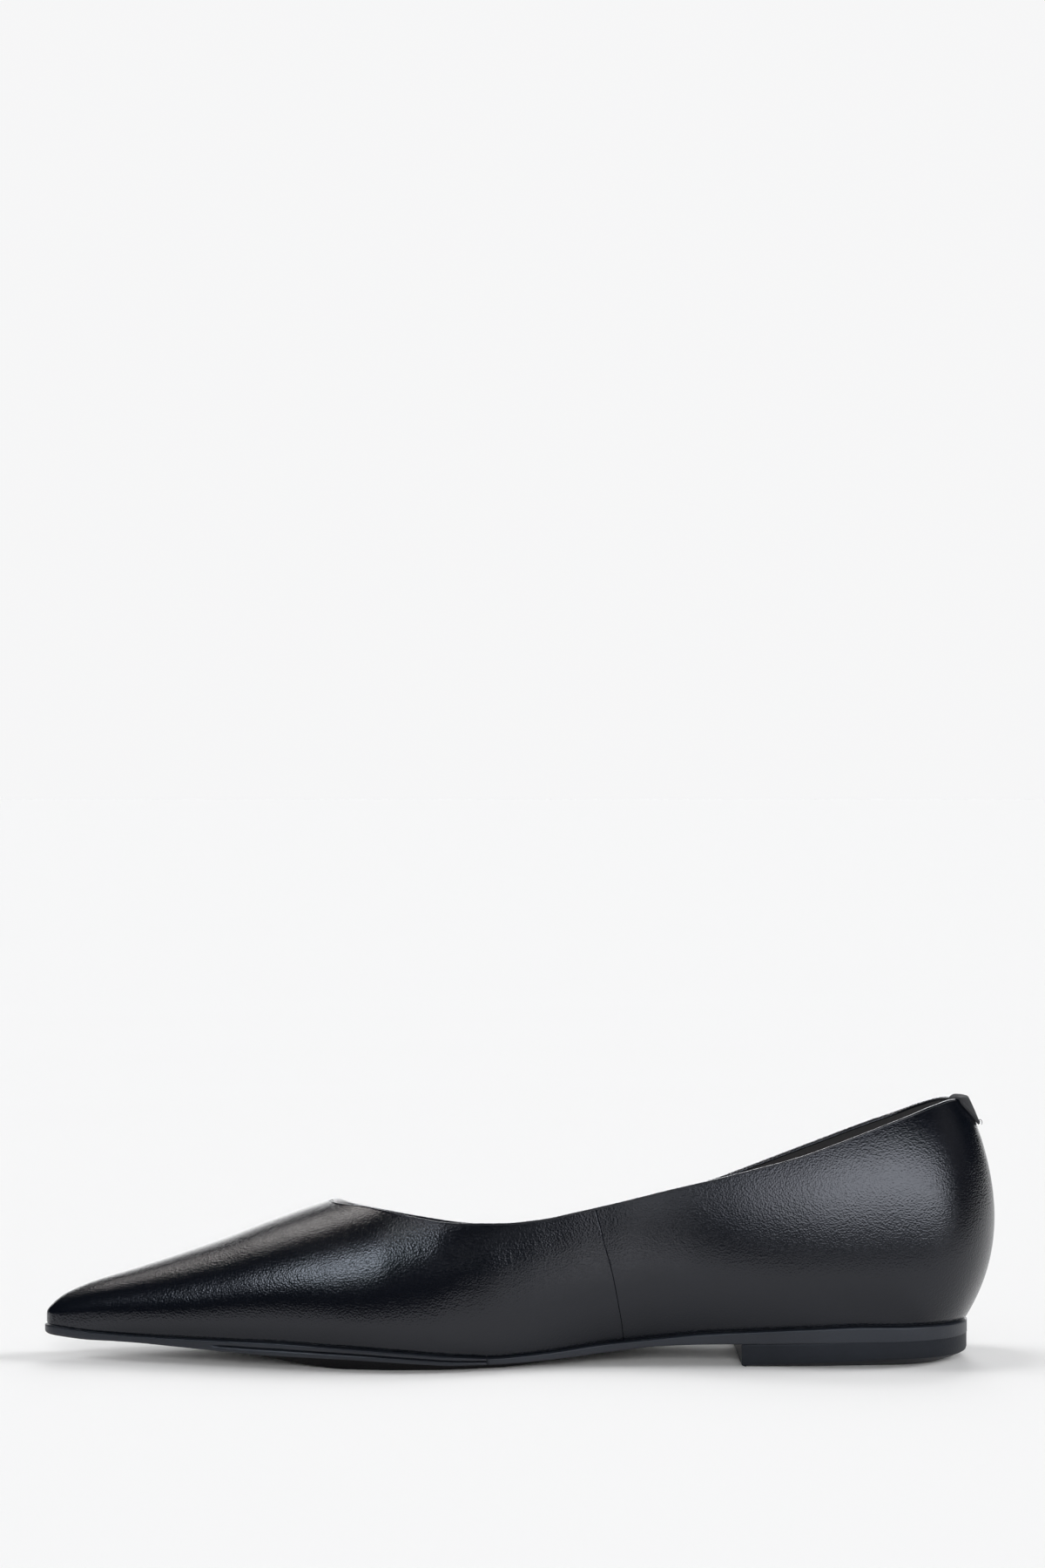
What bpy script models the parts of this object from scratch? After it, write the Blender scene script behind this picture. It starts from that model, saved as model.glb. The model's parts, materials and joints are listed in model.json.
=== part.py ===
"""Pointed toe flat shoe, right foot, empty and standing on its sole.

Metres, +Z up, toe towards -X, inner (medial) side towards -Y, origin at the middle of the
footprint on the floor. The last is a row of sections between the toe and the heel, fanned round
the nose in front and round the counter at the back.
"""
import math

import bmesh
import bpy
import numpy as np

# Driving dimensions
LENGTH = 0.2653          # toe tip of the sole to the rearmost bulge of the counter
BALL_WIDTH = 0.0757      # feather line across the ball
UPPER_WIDTH = 0.0822     # upper at its widest
SEAT_WIDTH = 0.0510      # feather line across the heel seat
INSTEP_HEIGHT = 0.0434   # throat above the floor
BACK_HEIGHT = 0.0716     # collar at the back seam above the floor
SEAT_HEIGHT = 0.0106     # feather line at the back above the floor
BREAST_HEIGHT = 0.0062   # underside of the sole at the front of the heel
TOE_SPRING = 0.0068      # underside of the sole edge at the toe tip

# Walls, clearances and edges
WALL = 0.0018            # upper leather with its lining
MARGIN = 0.009           # upper turned in under the foot
FIT = 0.0003             # gap between pieces that touch
NOSE_RADIUS = 0.0060
FEATHER_RADIUS = 0.0021  # round at the foot of the wall, wider than WALL
SOLE_PROUD = 0.0005      # sole edge beyond the feather line
SOLE_STEP = 0.0007       # groove between the two layers of the forefoot edge
SOLE_TUCK = 0.0050       # tread set in from the sole edge
INSOLE_THICKNESS = 0.0022
INSOLE_EASE = 0.0010     # insole clear of the wall
HEEL_BREAST = 0.0640     # length of the heel block
HEEL_INSET = 0.0003      # heel block inside the sole edge
HEEL_BEVEL = 0.0024      # bevel of the heel block at the floor, highest at the back
HEEL_TUCK = 0.0060       # how far that bevel goes in at the back
TAB_WIDTH = 0.0205       # heel tab along the collar
TAB_DROP = 0.0080        # heel tab below the collar outside, at the back seam
TAB_POINT = 0.87         # share of the drop that the tab loses towards its ends
TAB_CLEAR = 0.0004       # tab off the wall, a little over FIT where the wall is curved
TAB_INSIDE = 0.0120      # heel tab below the collar inside
TAB_THICKNESS = 0.0006

# Places along the shoe, from the toe tip
THROAT_AT = 0.0796       # front of the collar opening
BALL_AT = 0.35           # widest place of the sole, a share of LENGTH
STEP_START = 0.0465      # front of the groove in the sole edge
STEP_END = 0.1241        # joint where the groove ends
HEEL_CENTRE_BACK = 0.0315  # middle of the counter's round, from the back
HEEL_EDGE_BACK = 0.0082  # feather line, from the rearmost bulge
NOSE_SLOPE = math.radians(25)  # side of the nose against the shoe's axis

# Sections: at is a share of LENGTH from the toe tip; the half widths are shares of BALL_WIDTH
# (feather) and UPPER_WIDTH (bulge), the heights shares of INSTEP_HEIGHT.
SECTION_COLUMNS = ("at", "inner_feather", "outer_feather", "inner_bulge", "outer_bulge",
                   "inner_bulge_z", "outer_bulge_z", "crown_z", "ridge_in")
SECTIONS = (
    (0.015, 0.072, 0.072, 0.069, 0.069, 0.27, 0.27, 0.378, 0.00),
    (0.047, 0.122, 0.117, 0.118, 0.114, 0.29, 0.29, 0.464, 0.00),
    (0.096, 0.186, 0.184, 0.187, 0.185, 0.31, 0.31, 0.558, 0.01),
    (0.141, 0.244, 0.250, 0.247, 0.251, 0.33, 0.33, 0.648, 0.02),
    (0.187, 0.300, 0.318, 0.302, 0.316, 0.36, 0.35, 0.746, 0.03),
    (0.232, 0.351, 0.384, 0.353, 0.380, 0.39, 0.38, 0.853, 0.04),
    (0.277, 0.398, 0.442, 0.399, 0.438, 0.40, 0.39, 0.954, 0.05),
    (0.322, 0.437, 0.490, 0.437, 0.488, 0.39, 0.39, 1.045, 0.06),
    (0.368, 0.459, 0.526, 0.460, 0.523, 0.40, 0.39, 1.150, 0.06),
    (0.413, 0.453, 0.543, 0.457, 0.540, 0.44, 0.40, 1.245, 0.06),
    (0.458, 0.415, 0.538, 0.428, 0.535, 0.52, 0.42, 1.340, 0.05),
    (0.503, 0.358, 0.513, 0.389, 0.513, 0.63, 0.45, 1.430, 0.05),
    (0.548, 0.298, 0.474, 0.360, 0.484, 0.74, 0.49, 1.520, 0.04),
    (0.594, 0.256, 0.432, 0.345, 0.455, 0.82, 0.54, 1.610, 0.04),
    (0.639, 0.246, 0.394, 0.345, 0.431, 0.84, 0.60, 1.700, 0.03),
    (0.684, 0.263, 0.368, 0.353, 0.412, 0.83, 0.66, 1.790, 0.02),
    (0.729, 0.295, 0.352, 0.364, 0.399, 0.79, 0.70, 1.880, 0.01),
    (0.775, 0.321, 0.344, 0.373, 0.390, 0.76, 0.73, 1.960, 0.00),
    (0.820, 0.335, 0.341, 0.380, 0.386, 0.76, 0.75, 2.030, 0.00),
    (0.881, 0.337, 0.337, 0.383, 0.383, 0.78, 0.78, 2.110, 0.00),
)
BACK_BULGE_Z = 0.92      # bulge at the back seam, a share of INSTEP_HEIGHT
COLLAR_REACH = 0.78      # collar at the back seam, a share of the counter's round

# Edges: feather is the foot of the upper's wall and floor the underside in the middle, as
# shares of SEAT_HEIGHT; tread is the lower edge of the sole's side, as a share of TOE_SPRING
# in front of the ball and of BREAST_HEIGHT at the heel.
EDGE_COLUMNS = ("at", "feather", "tread", "floor")
EDGES = (
    (0.000, 0.85, 1.00, 0.600),
    (0.050, 0.74, 0.83, 0.475),
    (0.096, 0.70, 0.80, 0.455),
    (0.150, 0.69, 0.71, 0.395),
    (0.200, 0.69, 0.61, 0.325),
    (0.245, 0.69, 0.54, 0.210),
    (0.290, 0.65, 0.52, 0.060),
    (0.320, 0.62, 0.50, 0.000),
    (0.350, 0.58, 0.46, 0.000),
    (0.400, 0.48, 0.34, 0.000),
    (0.440, 0.39, 0.26, 0.000),
    (0.480, 0.33, 0.25, 0.000),
    (0.530, 0.39, 0.31, 0.100),
    (0.590, 0.55, 0.53, 0.265),
    (0.640, 0.67, 0.77, 0.425),
    (0.690, 0.81, 0.90, 0.510),
    (0.730, 0.89, 0.97, 0.555),
    (0.800, 1.00, 1.06, 0.620),
    (0.860, 1.06, 1.14, 0.667),
    (0.920, 1.06, 1.17, 0.684),
    (1.000, 1.00, 1.16, 0.679),
)

# Collar: shares of LENGTH from the toe tip, and of BACK_HEIGHT.
COLLAR_COLUMNS = ("at", "inner", "outer")
COLLAR = (
    (0.302, 0.608, 0.608),
    (0.309, 0.606, 0.588),
    (0.318, 0.606, 0.565),
    (0.335, 0.606, 0.538),
    (0.353, 0.599, 0.517),
    (0.389, 0.577, 0.482),
    (0.435, 0.556, 0.450),
    (0.484, 0.554, 0.436),
    (0.522, 0.565, 0.441),
    (0.560, 0.592, 0.470),
    (0.598, 0.623, 0.508),
    (0.654, 0.674, 0.571),
    (0.710, 0.723, 0.636),
    (0.748, 0.759, 0.690),
    (0.786, 0.797, 0.746),
    (0.824, 0.846, 0.801),
    (0.861, 0.898, 0.855),
    (0.899, 0.951, 0.908),
    (0.934, 0.992, 0.962),
    (0.955, 1.006, 0.988),
    (0.975, 1.000, 1.000),
)

# How finely the sections are drawn
NOSE_STEPS = 5
VAMP_STEPS = 11
QUARTER_STEPS = 30
HEEL_STEPS = 8
HEEL_SIDE_STEPS = 6
FOOT_ROUND_STEPS = 3
LOWER_STEPS = 4
UPPER_STEPS = 7
TAB_STEPS = 6

STATION_EASE = 0.75      # crowding of the stations towards the throat, 0 to 1
MARGIN_SHARE = 0.55      # most of the half width that the turned margin may take
MARGIN_ROW_SHARES = (1.0, 0.5)
NOSE_SHEAR = 5           # nose radii over which the sections lean back from the nose
NOSE_EASE = 4            # nose radii over which the tread and the footbed reach full width
NOSE_EXTRA = 2           # extra ease of the footbed at the very nose, in INSOLE_EASE
NOSE_ROUND_SHARE = 0.85  # most of the lower wall that the round at its foot may take
BREAST_EASE = 6          # nose radii over which the tuck fades out towards the heel
SEAT_FROM_SHARE = 0.70   # share of LENGTH where the seat starts to take its own width
SEAT_FULL_SHARE = 0.86   # share of LENGTH where it has it
LIP_FROM_SHARE = 0.62    # upper lip of the groove in the sole edge, a share of its height
GROOVE_SHARE = 0.50
LIP_TO_SHARE = 0.38
TUCK_SHARE_LEAST = 0.12  # share of the tuck left at the nose and the seat
BEVEL_SHARE_LEAST = 0.15  # share of the heel's bevel left at its breast
RIM_CREST_SHARE = 0.4    # height of the round rim, a share of WALL
TAB_HALVINGS = 30        # halvings in the search for the tab's edge on the collar
TAB_OUTSIDE_SHARES = (1.0, 0.75, 0.5, 0.25, 0.0)  # rows of the tab down the outside
TAB_OVER_ANGLES = (45, 90, 135)                   # rows over the rim, in degrees
TAB_INSIDE_SHARES = (0.0, 0.35, 0.7, 1.0)         # rows down the inside
TAB_SLOPE_LEVELS = 0.08  # how far below the collar its slope is read, in levels
LEVEL_STEP = 0.004       # step in levels when a length is measured along a section
LOWER_POWER = 2.2        # how soon the wall turns upright above the feather line
CROWN_POWER = 1.95       # roundness of the section over the instep
BACK_POWER = 1.70        # the same up the back seam, which leans in sooner

TOE_X = -LENGTH / 2
HEEL_X = LENGTH / 2
HEEL_CENTRE_X = HEEL_X - HEEL_CENTRE_BACK
NOSE_CENTRE_X = TOE_X + SOLE_PROUD + NOSE_RADIUS
SIDES = (("inner", -1), ("outer", 1))

MATERIALS = {
    "black_leather": ((0.012, 0.012, 0.013, 1), 0.32, 0.0),
    "black_sole": ((0.020, 0.020, 0.022, 1), 0.45, 0.0),
    "black_heel": ((0.016, 0.017, 0.019, 1), 0.50, 0.0),
    "dark_lining": ((0.022, 0.021, 0.021, 1), 0.65, 0.0),
    "matte_tab": ((0.030, 0.030, 0.031, 1), 0.75, 0.0),
}


def smooth_table(rows, columns):
    """Functions of `at` that run smoothly through each column, without overshoot."""
    table = np.array(rows)
    at = table[:, 0]
    curves = {}
    for index, name in enumerate(columns[1:], start=1):
        values = table[:, index]
        slopes = np.diff(values) / np.diff(at)
        tangents = np.empty(len(at))
        tangents[0], tangents[-1] = slopes[0], slopes[-1]
        for i in range(1, len(at) - 1):
            before, after = slopes[i - 1], slopes[i]
            if before * after <= 0:
                tangents[i] = 0.0
            else:
                left, right = at[i] - at[i - 1], at[i + 1] - at[i]
                w1, w2 = 2 * right + left, right + 2 * left
                tangents[i] = (w1 + w2) / (w1 / before + w2 / after)

        def curve(x, at=at, values=values, tangents=tangents):
            x = min(max(x, at[0]), at[-1])
            i = min(int(np.searchsorted(at, x, side="right")) - 1, len(at) - 2)
            span = at[i + 1] - at[i]
            t = (x - at[i]) / span
            rise = values[i + 1] - values[i]
            a = span * tangents[i] - rise
            b = rise - span * tangents[i + 1]
            return float(values[i] + t * rise + t * (1 - t) * ((1 - t) * a + t * b))

        curves[name] = curve
    return curves


SECTION = smooth_table(SECTIONS, SECTION_COLUMNS)
EDGE = smooth_table(EDGES, EDGE_COLUMNS)
COLLAR_LINE = smooth_table(COLLAR, COLLAR_COLUMNS)


def share_at(x):
    return (x - TOE_X) / LENGTH


def feather_z(x):
    return SEAT_HEIGHT * EDGE["feather"](share_at(x))


def tread_z(x):
    """Lower edge of the sole's side: from the toe spring over the ball to the breast height."""
    at = share_at(x)
    back = min(1.0, max(0.0, (at - BALL_AT) / (1 - HEEL_BREAST / LENGTH - BALL_AT)))
    lift = TOE_SPRING + (BREAST_HEIGHT - TOE_SPRING) * back
    return lift * EDGE["tread"](at)


def crown_z(x):
    """Top line of the last; in front of the nose it runs straight on down."""
    first, second = SECTIONS[0][0], SECTIONS[1][0]
    at = share_at(x)
    if at >= first:
        return INSTEP_HEIGHT * SECTION["crown_z"](at)
    slope = (SECTION["crown_z"](second) - SECTION["crown_z"](first)) / (second - first)
    return INSTEP_HEIGHT * (SECTION["crown_z"](first) + slope * (at - first))


def stations():
    """Places round half of the footprint: the nose, then the length, then the counter."""
    places = []
    for i in range(NOSE_STEPS):
        angle = math.pi / 2 + (NOSE_SLOPE - math.pi / 2) * i / NOSE_STEPS
        places.append(("nose", angle))
    start = NOSE_CENTRE_X - NOSE_RADIUS * math.sin(NOSE_SLOPE)
    throat = TOE_X + THROAT_AT
    for i in range(VAMP_STEPS):
        places.append(("length", start + (throat - start) * i / VAMP_STEPS))
    for i in range(QUARTER_STEPS):
        t = i / QUARTER_STEPS
        eased = (1 - STATION_EASE) * t + STATION_EASE * t * t
        places.append(("length", throat + (HEEL_CENTRE_X - throat) * eased))
    for i in range(HEEL_STEPS + 1):
        places.append(("heel", math.pi / 2 * i / HEEL_STEPS))
    return places


STATIONS = stations()
THROAT_INDEX = NOSE_STEPS + VAMP_STEPS


def half_width(x, side, level):
    width = BALL_WIDTH if level == "feather" else UPPER_WIDTH
    at = share_at(x)
    value = width * SECTION[f"{side}_{level}"](at)
    if level == "feather":
        seat = max(0.0, min(1.0, (at - SEAT_FROM_SHARE) / (SEAT_FULL_SHARE - SEAT_FROM_SHARE)))
        value += (SEAT_WIDTH / 2 - BALL_WIDTH * SECTIONS[-1][1]) * seat
    return value


def foot_point(place, side, sign, level, proud=0.0):
    """Outline of the feather line or of the bulge, moved outwards by proud."""
    kind, value = place
    if kind == "nose":
        radius = NOSE_RADIUS + proud
        return np.array((NOSE_CENTRE_X - radius * math.sin(value), sign * radius * math.cos(value)))
    if kind == "heel":
        width = half_width(HEEL_CENTRE_X, side, level)
        reach = HEEL_CENTRE_BACK
        if level == "feather":
            reach -= HEEL_EDGE_BACK
        return np.array((HEEL_CENTRE_X + (reach + proud) * math.sin(value),
                         sign * (width + proud) * math.cos(value)))
    return np.array((value, sign * (half_width(value, side, level) + proud)))


def spine_point(place):
    kind, value = place
    if kind == "nose":
        x = NOSE_CENTRE_X
    elif kind == "heel":
        x = HEEL_CENTRE_X
    else:
        start = NOSE_CENTRE_X - NOSE_RADIUS * math.sin(NOSE_SLOPE)
        lead = NOSE_CENTRE_X - start
        reach = NOSE_RADIUS * NOSE_SHEAR
        x = value + lead * max(0.0, 1 - (value - start) / reach) ** 2
    return np.array((x, -BALL_WIDTH * SECTION["ridge_in"](share_at(x))))


def bulge_z(place, side):
    kind, value = place
    if kind == "nose":
        return INSTEP_HEIGHT * SECTIONS[0][5]
    if kind == "heel":
        start = SECTION[f"{side}_bulge_z"](share_at(HEEL_CENTRE_X))
        return INSTEP_HEIGHT * (start + (BACK_BULGE_Z - start) * math.sin(value) ** 2)
    return INSTEP_HEIGHT * SECTION[f"{side}_bulge_z"](share_at(value))


def collar_z(place, side):
    kind, value = place
    x = value
    if kind == "heel":
        x = HEEL_CENTRE_X + COLLAR_REACH * HEEL_CENTRE_BACK * math.sin(value)
    return BACK_HEIGHT * COLLAR_LINE[side](share_at(x))


def rise_power(place):
    kind, value = place
    if kind == "heel":
        return CROWN_POWER + (BACK_POWER - CROWN_POWER) * math.sin(value) ** 2
    return CROWN_POWER


def section_point(place, side, sign, level):
    """A point of the last: level 0 is the feather line, 1 the bulge, 2 the crown."""
    foot = foot_point(place, side, sign, "feather")
    bulge = foot_point(place, side, sign, "bulge")
    spine = spine_point(place)
    low, middle = feather_z(foot[0]), bulge_z(place, side)
    if level <= 1:
        lean = (1 - level) ** LOWER_POWER
        plan = bulge + (foot - bulge) * lean
        return np.array((plan[0], plan[1], low + (middle - low) * level))
    angle = (level - 1) * math.pi / 2
    plan = spine + (bulge - spine) * math.cos(angle) ** (2 / CROWN_POWER)
    rise = (crown_z(plan[0]) - middle) * math.sin(angle) ** (2 / rise_power(place))
    return np.array((plan[0], plan[1], middle + rise))


def top_level(place, side):
    """Where the wall ends: on the ridge in front of the throat, on the collar behind it."""
    kind, value = place
    if kind == "nose" or (kind == "length" and value <= TOE_X + THROAT_AT):
        return 2.0
    x = value if kind == "length" else HEEL_CENTRE_X
    middle, top = bulge_z(place, side), crown_z(x)
    share = (collar_z(place, side) - middle) / (top - middle)
    return 1 + math.asin(min(1.0, share ** (rise_power(place) / 2))) / (math.pi / 2)


def margin_points(place, side, sign):
    """The turned-in margin and the round at the foot of the wall, inner edge first."""
    foot = foot_point(place, side, sign, "feather")
    spine = spine_point(place)
    inward = spine - foot
    reach = np.linalg.norm(inward)
    inward = inward / reach
    turned = min(MARGIN, MARGIN_SHARE * reach)
    points = []
    for share in MARGIN_ROW_SHARES:
        plan = foot + inward * (FEATHER_RADIUS + (turned - FEATHER_RADIUS) * share)
        points.append((plan[0], plan[1], feather_z(plan[0])))
    for i in range(FOOT_ROUND_STEPS):
        a = math.pi / 2 * i / FOOT_ROUND_STEPS
        plan = foot + inward * FEATHER_RADIUS * (1 - math.sin(a))
        points.append((plan[0], plan[1], feather_z(plan[0]) + FEATHER_RADIUS * (1 - math.cos(a))))
    return points


def wall_column(index, side, sign):
    """Points of one station from the turned-in edge up to the ridge or the collar."""
    place = STATIONS[index]
    column = margin_points(place, side, sign)
    foot = foot_point(place, side, sign, "feather")
    low = feather_z(foot[0])
    start = min(NOSE_ROUND_SHARE, FEATHER_RADIUS / (bulge_z(place, side) - low))
    for i in range(LOWER_STEPS):
        column.append(section_point(place, side, sign, start + (1 - start) * i / LOWER_STEPS))
    top = top_level(place, side)
    for i in range(UPPER_STEPS + 1):
        column.append(section_point(place, side, sign, 1 + (top - 1) * i / UPPER_STEPS))
    return column


def middle_y():
    """Half way between the widest points of the two sides, where the origin lies."""
    reach = {}
    for side, sign in SIDES:
        reach[side] = max(abs(foot_point(place, side, sign, "bulge")[1]) for place in STATIONS)
    return (reach["outer"] - reach["inner"]) / 2


def material(name):
    found = bpy.data.materials.get(name)
    if found:
        return found
    colour, roughness, metallic = MATERIALS[name]
    made = bpy.data.materials.new(name)
    made.use_nodes = True
    shader = made.node_tree.nodes["Principled BSDF"]
    shader.inputs["Base Color"].default_value = colour
    shader.inputs["Roughness"].default_value = roughness
    shader.inputs["Metallic"].default_value = metallic
    return made


def add_object(name, mesh_data, material_name):
    mesh = bpy.data.meshes.new(name)
    mesh_data.to_mesh(mesh)
    mesh_data.free()
    mesh.shade_smooth()
    mesh.set_sharp_from_angle(angle=math.radians(40))
    mesh.materials.append(material(material_name))
    made = bpy.data.objects.new(name, mesh)
    made.location.y = -middle_y()
    bpy.context.scene.collection.objects.link(made)
    return made


def thicken(work, wall):
    """Turn an open sheet into a wall: a second face set in by wall, and round rims between."""
    bmesh.ops.recalc_face_normals(work, faces=work.faces)
    outer_faces = list(work.faces)
    work.normal_update()
    rearmost = max(work.verts, key=lambda v: v.co.x)
    if rearmost.normal.x < 0:
        bmesh.ops.reverse_faces(work, faces=outer_faces)
    work.normal_update()
    rims = [edge for edge in work.edges if edge.is_boundary]
    inner = {v: work.verts.new(v.co - v.normal * wall) for v in list(work.verts)}
    for face in outer_faces:
        work.faces.new([inner[v] for v in reversed(face.verts)])
    crests = {}

    def crest(v, face_centre):
        if v not in crests:
            middle = (v.co + inner[v].co) / 2
            away = v.co - face_centre
            away = away - v.normal * away.dot(v.normal)
            crests[v] = work.verts.new(middle + away.normalized() * wall * RIM_CREST_SHARE)
        return crests[v]

    for edge in rims:
        loop = edge.link_loops[0]
        a, b = loop.vert, loop.link_loop_next.vert
        centre = loop.face.calc_center_median()
        over_a, over_b = crest(a, centre), crest(b, centre)
        work.faces.new((b, a, over_a, over_b))
        work.faces.new((over_b, over_a, inner[a], inner[b]))


def make_upper():
    """The outer face as one sheet round the foot, thickened inwards by the wall."""
    work = bmesh.new()
    seats = {}
    last = len(STATIONS) - 1

    def vertex(index, side, sign, level, point, levels):
        shared_column = index in (0, last)
        shared_ridge = level == levels - 1 and index <= THROAT_INDEX
        nose_pole = level == levels - 1 and index < NOSE_STEPS
        key = (0 if nose_pole else index, "both" if shared_column or shared_ridge else side, level)
        if key not in seats:
            seats[key] = work.verts.new(point)
        return seats[key]

    for side, sign in SIDES:
        columns = []
        for index in range(len(STATIONS)):
            column = wall_column(index, side, sign)
            columns.append([vertex(index, side, sign, level, point, len(column))
                            for level, point in enumerate(column)])
        for left, right in zip(columns, columns[1:]):
            for level in range(len(left) - 1):
                corners = [left[level], right[level], right[level + 1], left[level + 1]]
                if sign > 0:
                    corners.reverse()
                ring = [v for i, v in enumerate(corners) if v is not corners[i - 1]]
                work.faces.new(ring)
    thicken(work, WALL)
    return add_object("upper", work, "black_leather")


def outline_loop(proud):
    """The feather line as one loop round the foot, moved outwards by proud."""
    last = len(STATIONS) - 1
    order = [(index, "inner", -1) for index in range(last + 1)]
    order += [(index, "outer", 1) for index in range(last - 1, 0, -1)]
    loop = []
    for index, side, sign in order:
        moved = proud
        if callable(proud):
            moved = proud(foot_point(STATIONS[index], side, sign, "feather")[0])
        loop.append(foot_point(STATIONS[index], side, sign, "feather", moved))
    return loop


def inset_loop(loop, inset):
    """Move a plan loop inwards along its own normals."""
    moved = []
    count = len(loop)
    for i, point in enumerate(loop):
        along = loop[(i + 1) % count] - loop[i - 1]
        along = along / np.linalg.norm(along)
        depth = inset(point[0]) if callable(inset) else inset
        moved.append(point + depth * np.array((-along[1], along[0])))
    return moved


def stacked_solid(name, rings, material_name):
    """A closed solid from rings of equal count, top ring first, with capped ends."""
    work = bmesh.new()
    loops = [[work.verts.new(point) for point in ring] for ring in rings]
    count = len(loops[0])
    for upper, lower in zip(loops, loops[1:]):
        for i in range(count):
            j = (i + 1) % count
            work.faces.new((upper[i], lower[i], lower[j], upper[j]))
    half = count // 2
    for ring, flip in ((loops[0], False), (loops[-1], True)):
        for i in range(half):
            a, b = ring[i], ring[i + 1]
            c, d = ring[(count - i - 1) % count], ring[(count - i) % count]
            corners = [a, b, c] if i == 0 else [a, b, c, d]
            if i == half - 1:
                corners = [a, b, d]
            if flip:
                corners.reverse()
            work.faces.new(corners)
    bmesh.ops.recalc_face_normals(work, faces=work.faces)
    return add_object(name, work, material_name)


def make_outsole():
    """Thin sole: flat top face under the margin, stepped side, tread tucked in below."""
    edge = outline_loop(SOLE_PROUD)

    def in_step(x):
        start, end = TOE_X + STEP_START, TOE_X + STEP_END
        return start < x < end

    def ring(inset, height):
        loop = inset_loop(edge, inset)
        return [(point[0], point[1], height(point[0])) for point in loop]

    def top(x):
        return feather_z(x) - FIT

    def side_z(x, share):
        return tread_z(x) + share * (top(x) - tread_z(x))

    def tread(x):
        return SEAT_HEIGHT * EDGE["floor"](share_at(x))

    def groove(x):
        return SOLE_STEP if in_step(x) else 0.0

    rings = [
        ring(0.0, top),
        ring(0.0, lambda x: side_z(x, LIP_FROM_SHARE)),
        ring(groove, lambda x: side_z(x, GROOVE_SHARE)),
        ring(0.0, lambda x: side_z(x, LIP_TO_SHARE)),
        ring(0.0, tread_z),
        ring(lambda x: SOLE_TUCK * tuck_share(x), tread),
    ]
    return stacked_solid("outsole", rings, "black_sole")


def tuck_share(x):
    """The tread tucks in fully at the ball, less in the narrow nose, not at all at the seat."""
    toe = min(1.0, (x - TOE_X) / (NOSE_EASE * NOSE_RADIUS))
    back = min(1.0, max(0.0, (HEEL_X - HEEL_BREAST - x) / (BREAST_EASE * NOSE_RADIUS)))
    return TUCK_SHARE_LEAST + (1 - TUCK_SHARE_LEAST) * min(toe, back)


def make_heel():
    """Low block under the seat, straight across its breast."""
    back = HEEL_CENTRE_BACK - HEEL_EDGE_BACK + SOLE_PROUD - HEEL_INSET
    edge = [foot_point(place, "inner", -1, "feather", SOLE_PROUD - HEEL_INSET)
            for place in STATIONS if place[0] == "heel"]
    edge_back = [foot_point(place, "outer", 1, "feather", SOLE_PROUD - HEEL_INSET)
                 for place in STATIONS if place[0] == "heel"]
    breast_x = HEEL_CENTRE_X + back - HEEL_BREAST
    sides = {}
    for side, sign in SIDES:
        run = []
        for i in range(HEEL_SIDE_STEPS):
            x = breast_x + (HEEL_CENTRE_X - breast_x) * i / HEEL_SIDE_STEPS
            run.append(foot_point(("length", x), side, sign, "feather", SOLE_PROUD - HEEL_INSET))
        sides[side] = run
    loop = sides["inner"] + edge + edge_back[-2::-1] + sides["outer"][::-1]

    def back_share(x):
        grown = min(1.0, (x - breast_x) / (HEEL_CENTRE_X - breast_x))
        return BEVEL_SHARE_LEAST + (1 - BEVEL_SHARE_LEAST) * grown

    top = [(p[0], p[1], tread_z(p[0]) - FIT) for p in loop]
    foot = [(p[0], p[1], HEEL_BEVEL * back_share(p[0])) for p in loop]
    tucked = inset_loop(loop, lambda x: HEEL_TUCK * back_share(x))
    floor = [(max(p[0], breast_x), p[1], 0.0) for p in tucked]
    work = bmesh.new()
    loops = [[work.verts.new(point) for point in ring] for ring in (top, foot, floor)]
    count = len(loop)
    for upper, lower in zip(loops, loops[1:]):
        for i in range(count):
            j = (i + 1) % count
            work.faces.new((upper[i], lower[i], lower[j], upper[j]))
    for ring in (loops[0], loops[-1]):
        for i in range(count // 2):
            a, b = ring[i], ring[i + 1]
            c, d = ring[count - 2 - i], ring[count - 1 - i]
            corners = [a, b, c, d]
            work.faces.new([v for k, v in enumerate(corners) if v is not corners[k - 1]])
    bmesh.ops.recalc_face_normals(work, faces=work.faces)
    return add_object("heel", work, "black_heel")


def insole_inset(x):
    """The last leans in quickly over the nose, so the footbed keeps further off there."""
    nose = max(0.0, 1 - (x - TOE_X) / (NOSE_EASE * NOSE_RADIUS))
    return -(WALL + INSOLE_EASE * (1 + NOSE_EXTRA * nose))


def make_insole():
    """Footbed on the turned margin, clear of the wall all round."""
    loop = outline_loop(insole_inset)
    base = WALL + FIT
    rings = []
    for height in (base + INSOLE_THICKNESS, base):
        rings.append([(p[0], p[1], feather_z(p[0]) + height) for p in loop])
    return stacked_solid("insole", rings, "dark_lining")


def tab_place(side, sign, wanted):
    """Where on the counter the collar lies wanted to the side of the back seam."""
    low, high = 0.0, math.pi / 2
    for _ in range(TAB_HALVINGS):
        angle = (low + high) / 2
        place = ("heel", angle)
        y = abs(section_point(place, side, sign, top_level(place, side))[1])
        if y > wanted:
            low = angle
        else:
            high = angle
    return ("heel", (low + high) / 2)


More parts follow.
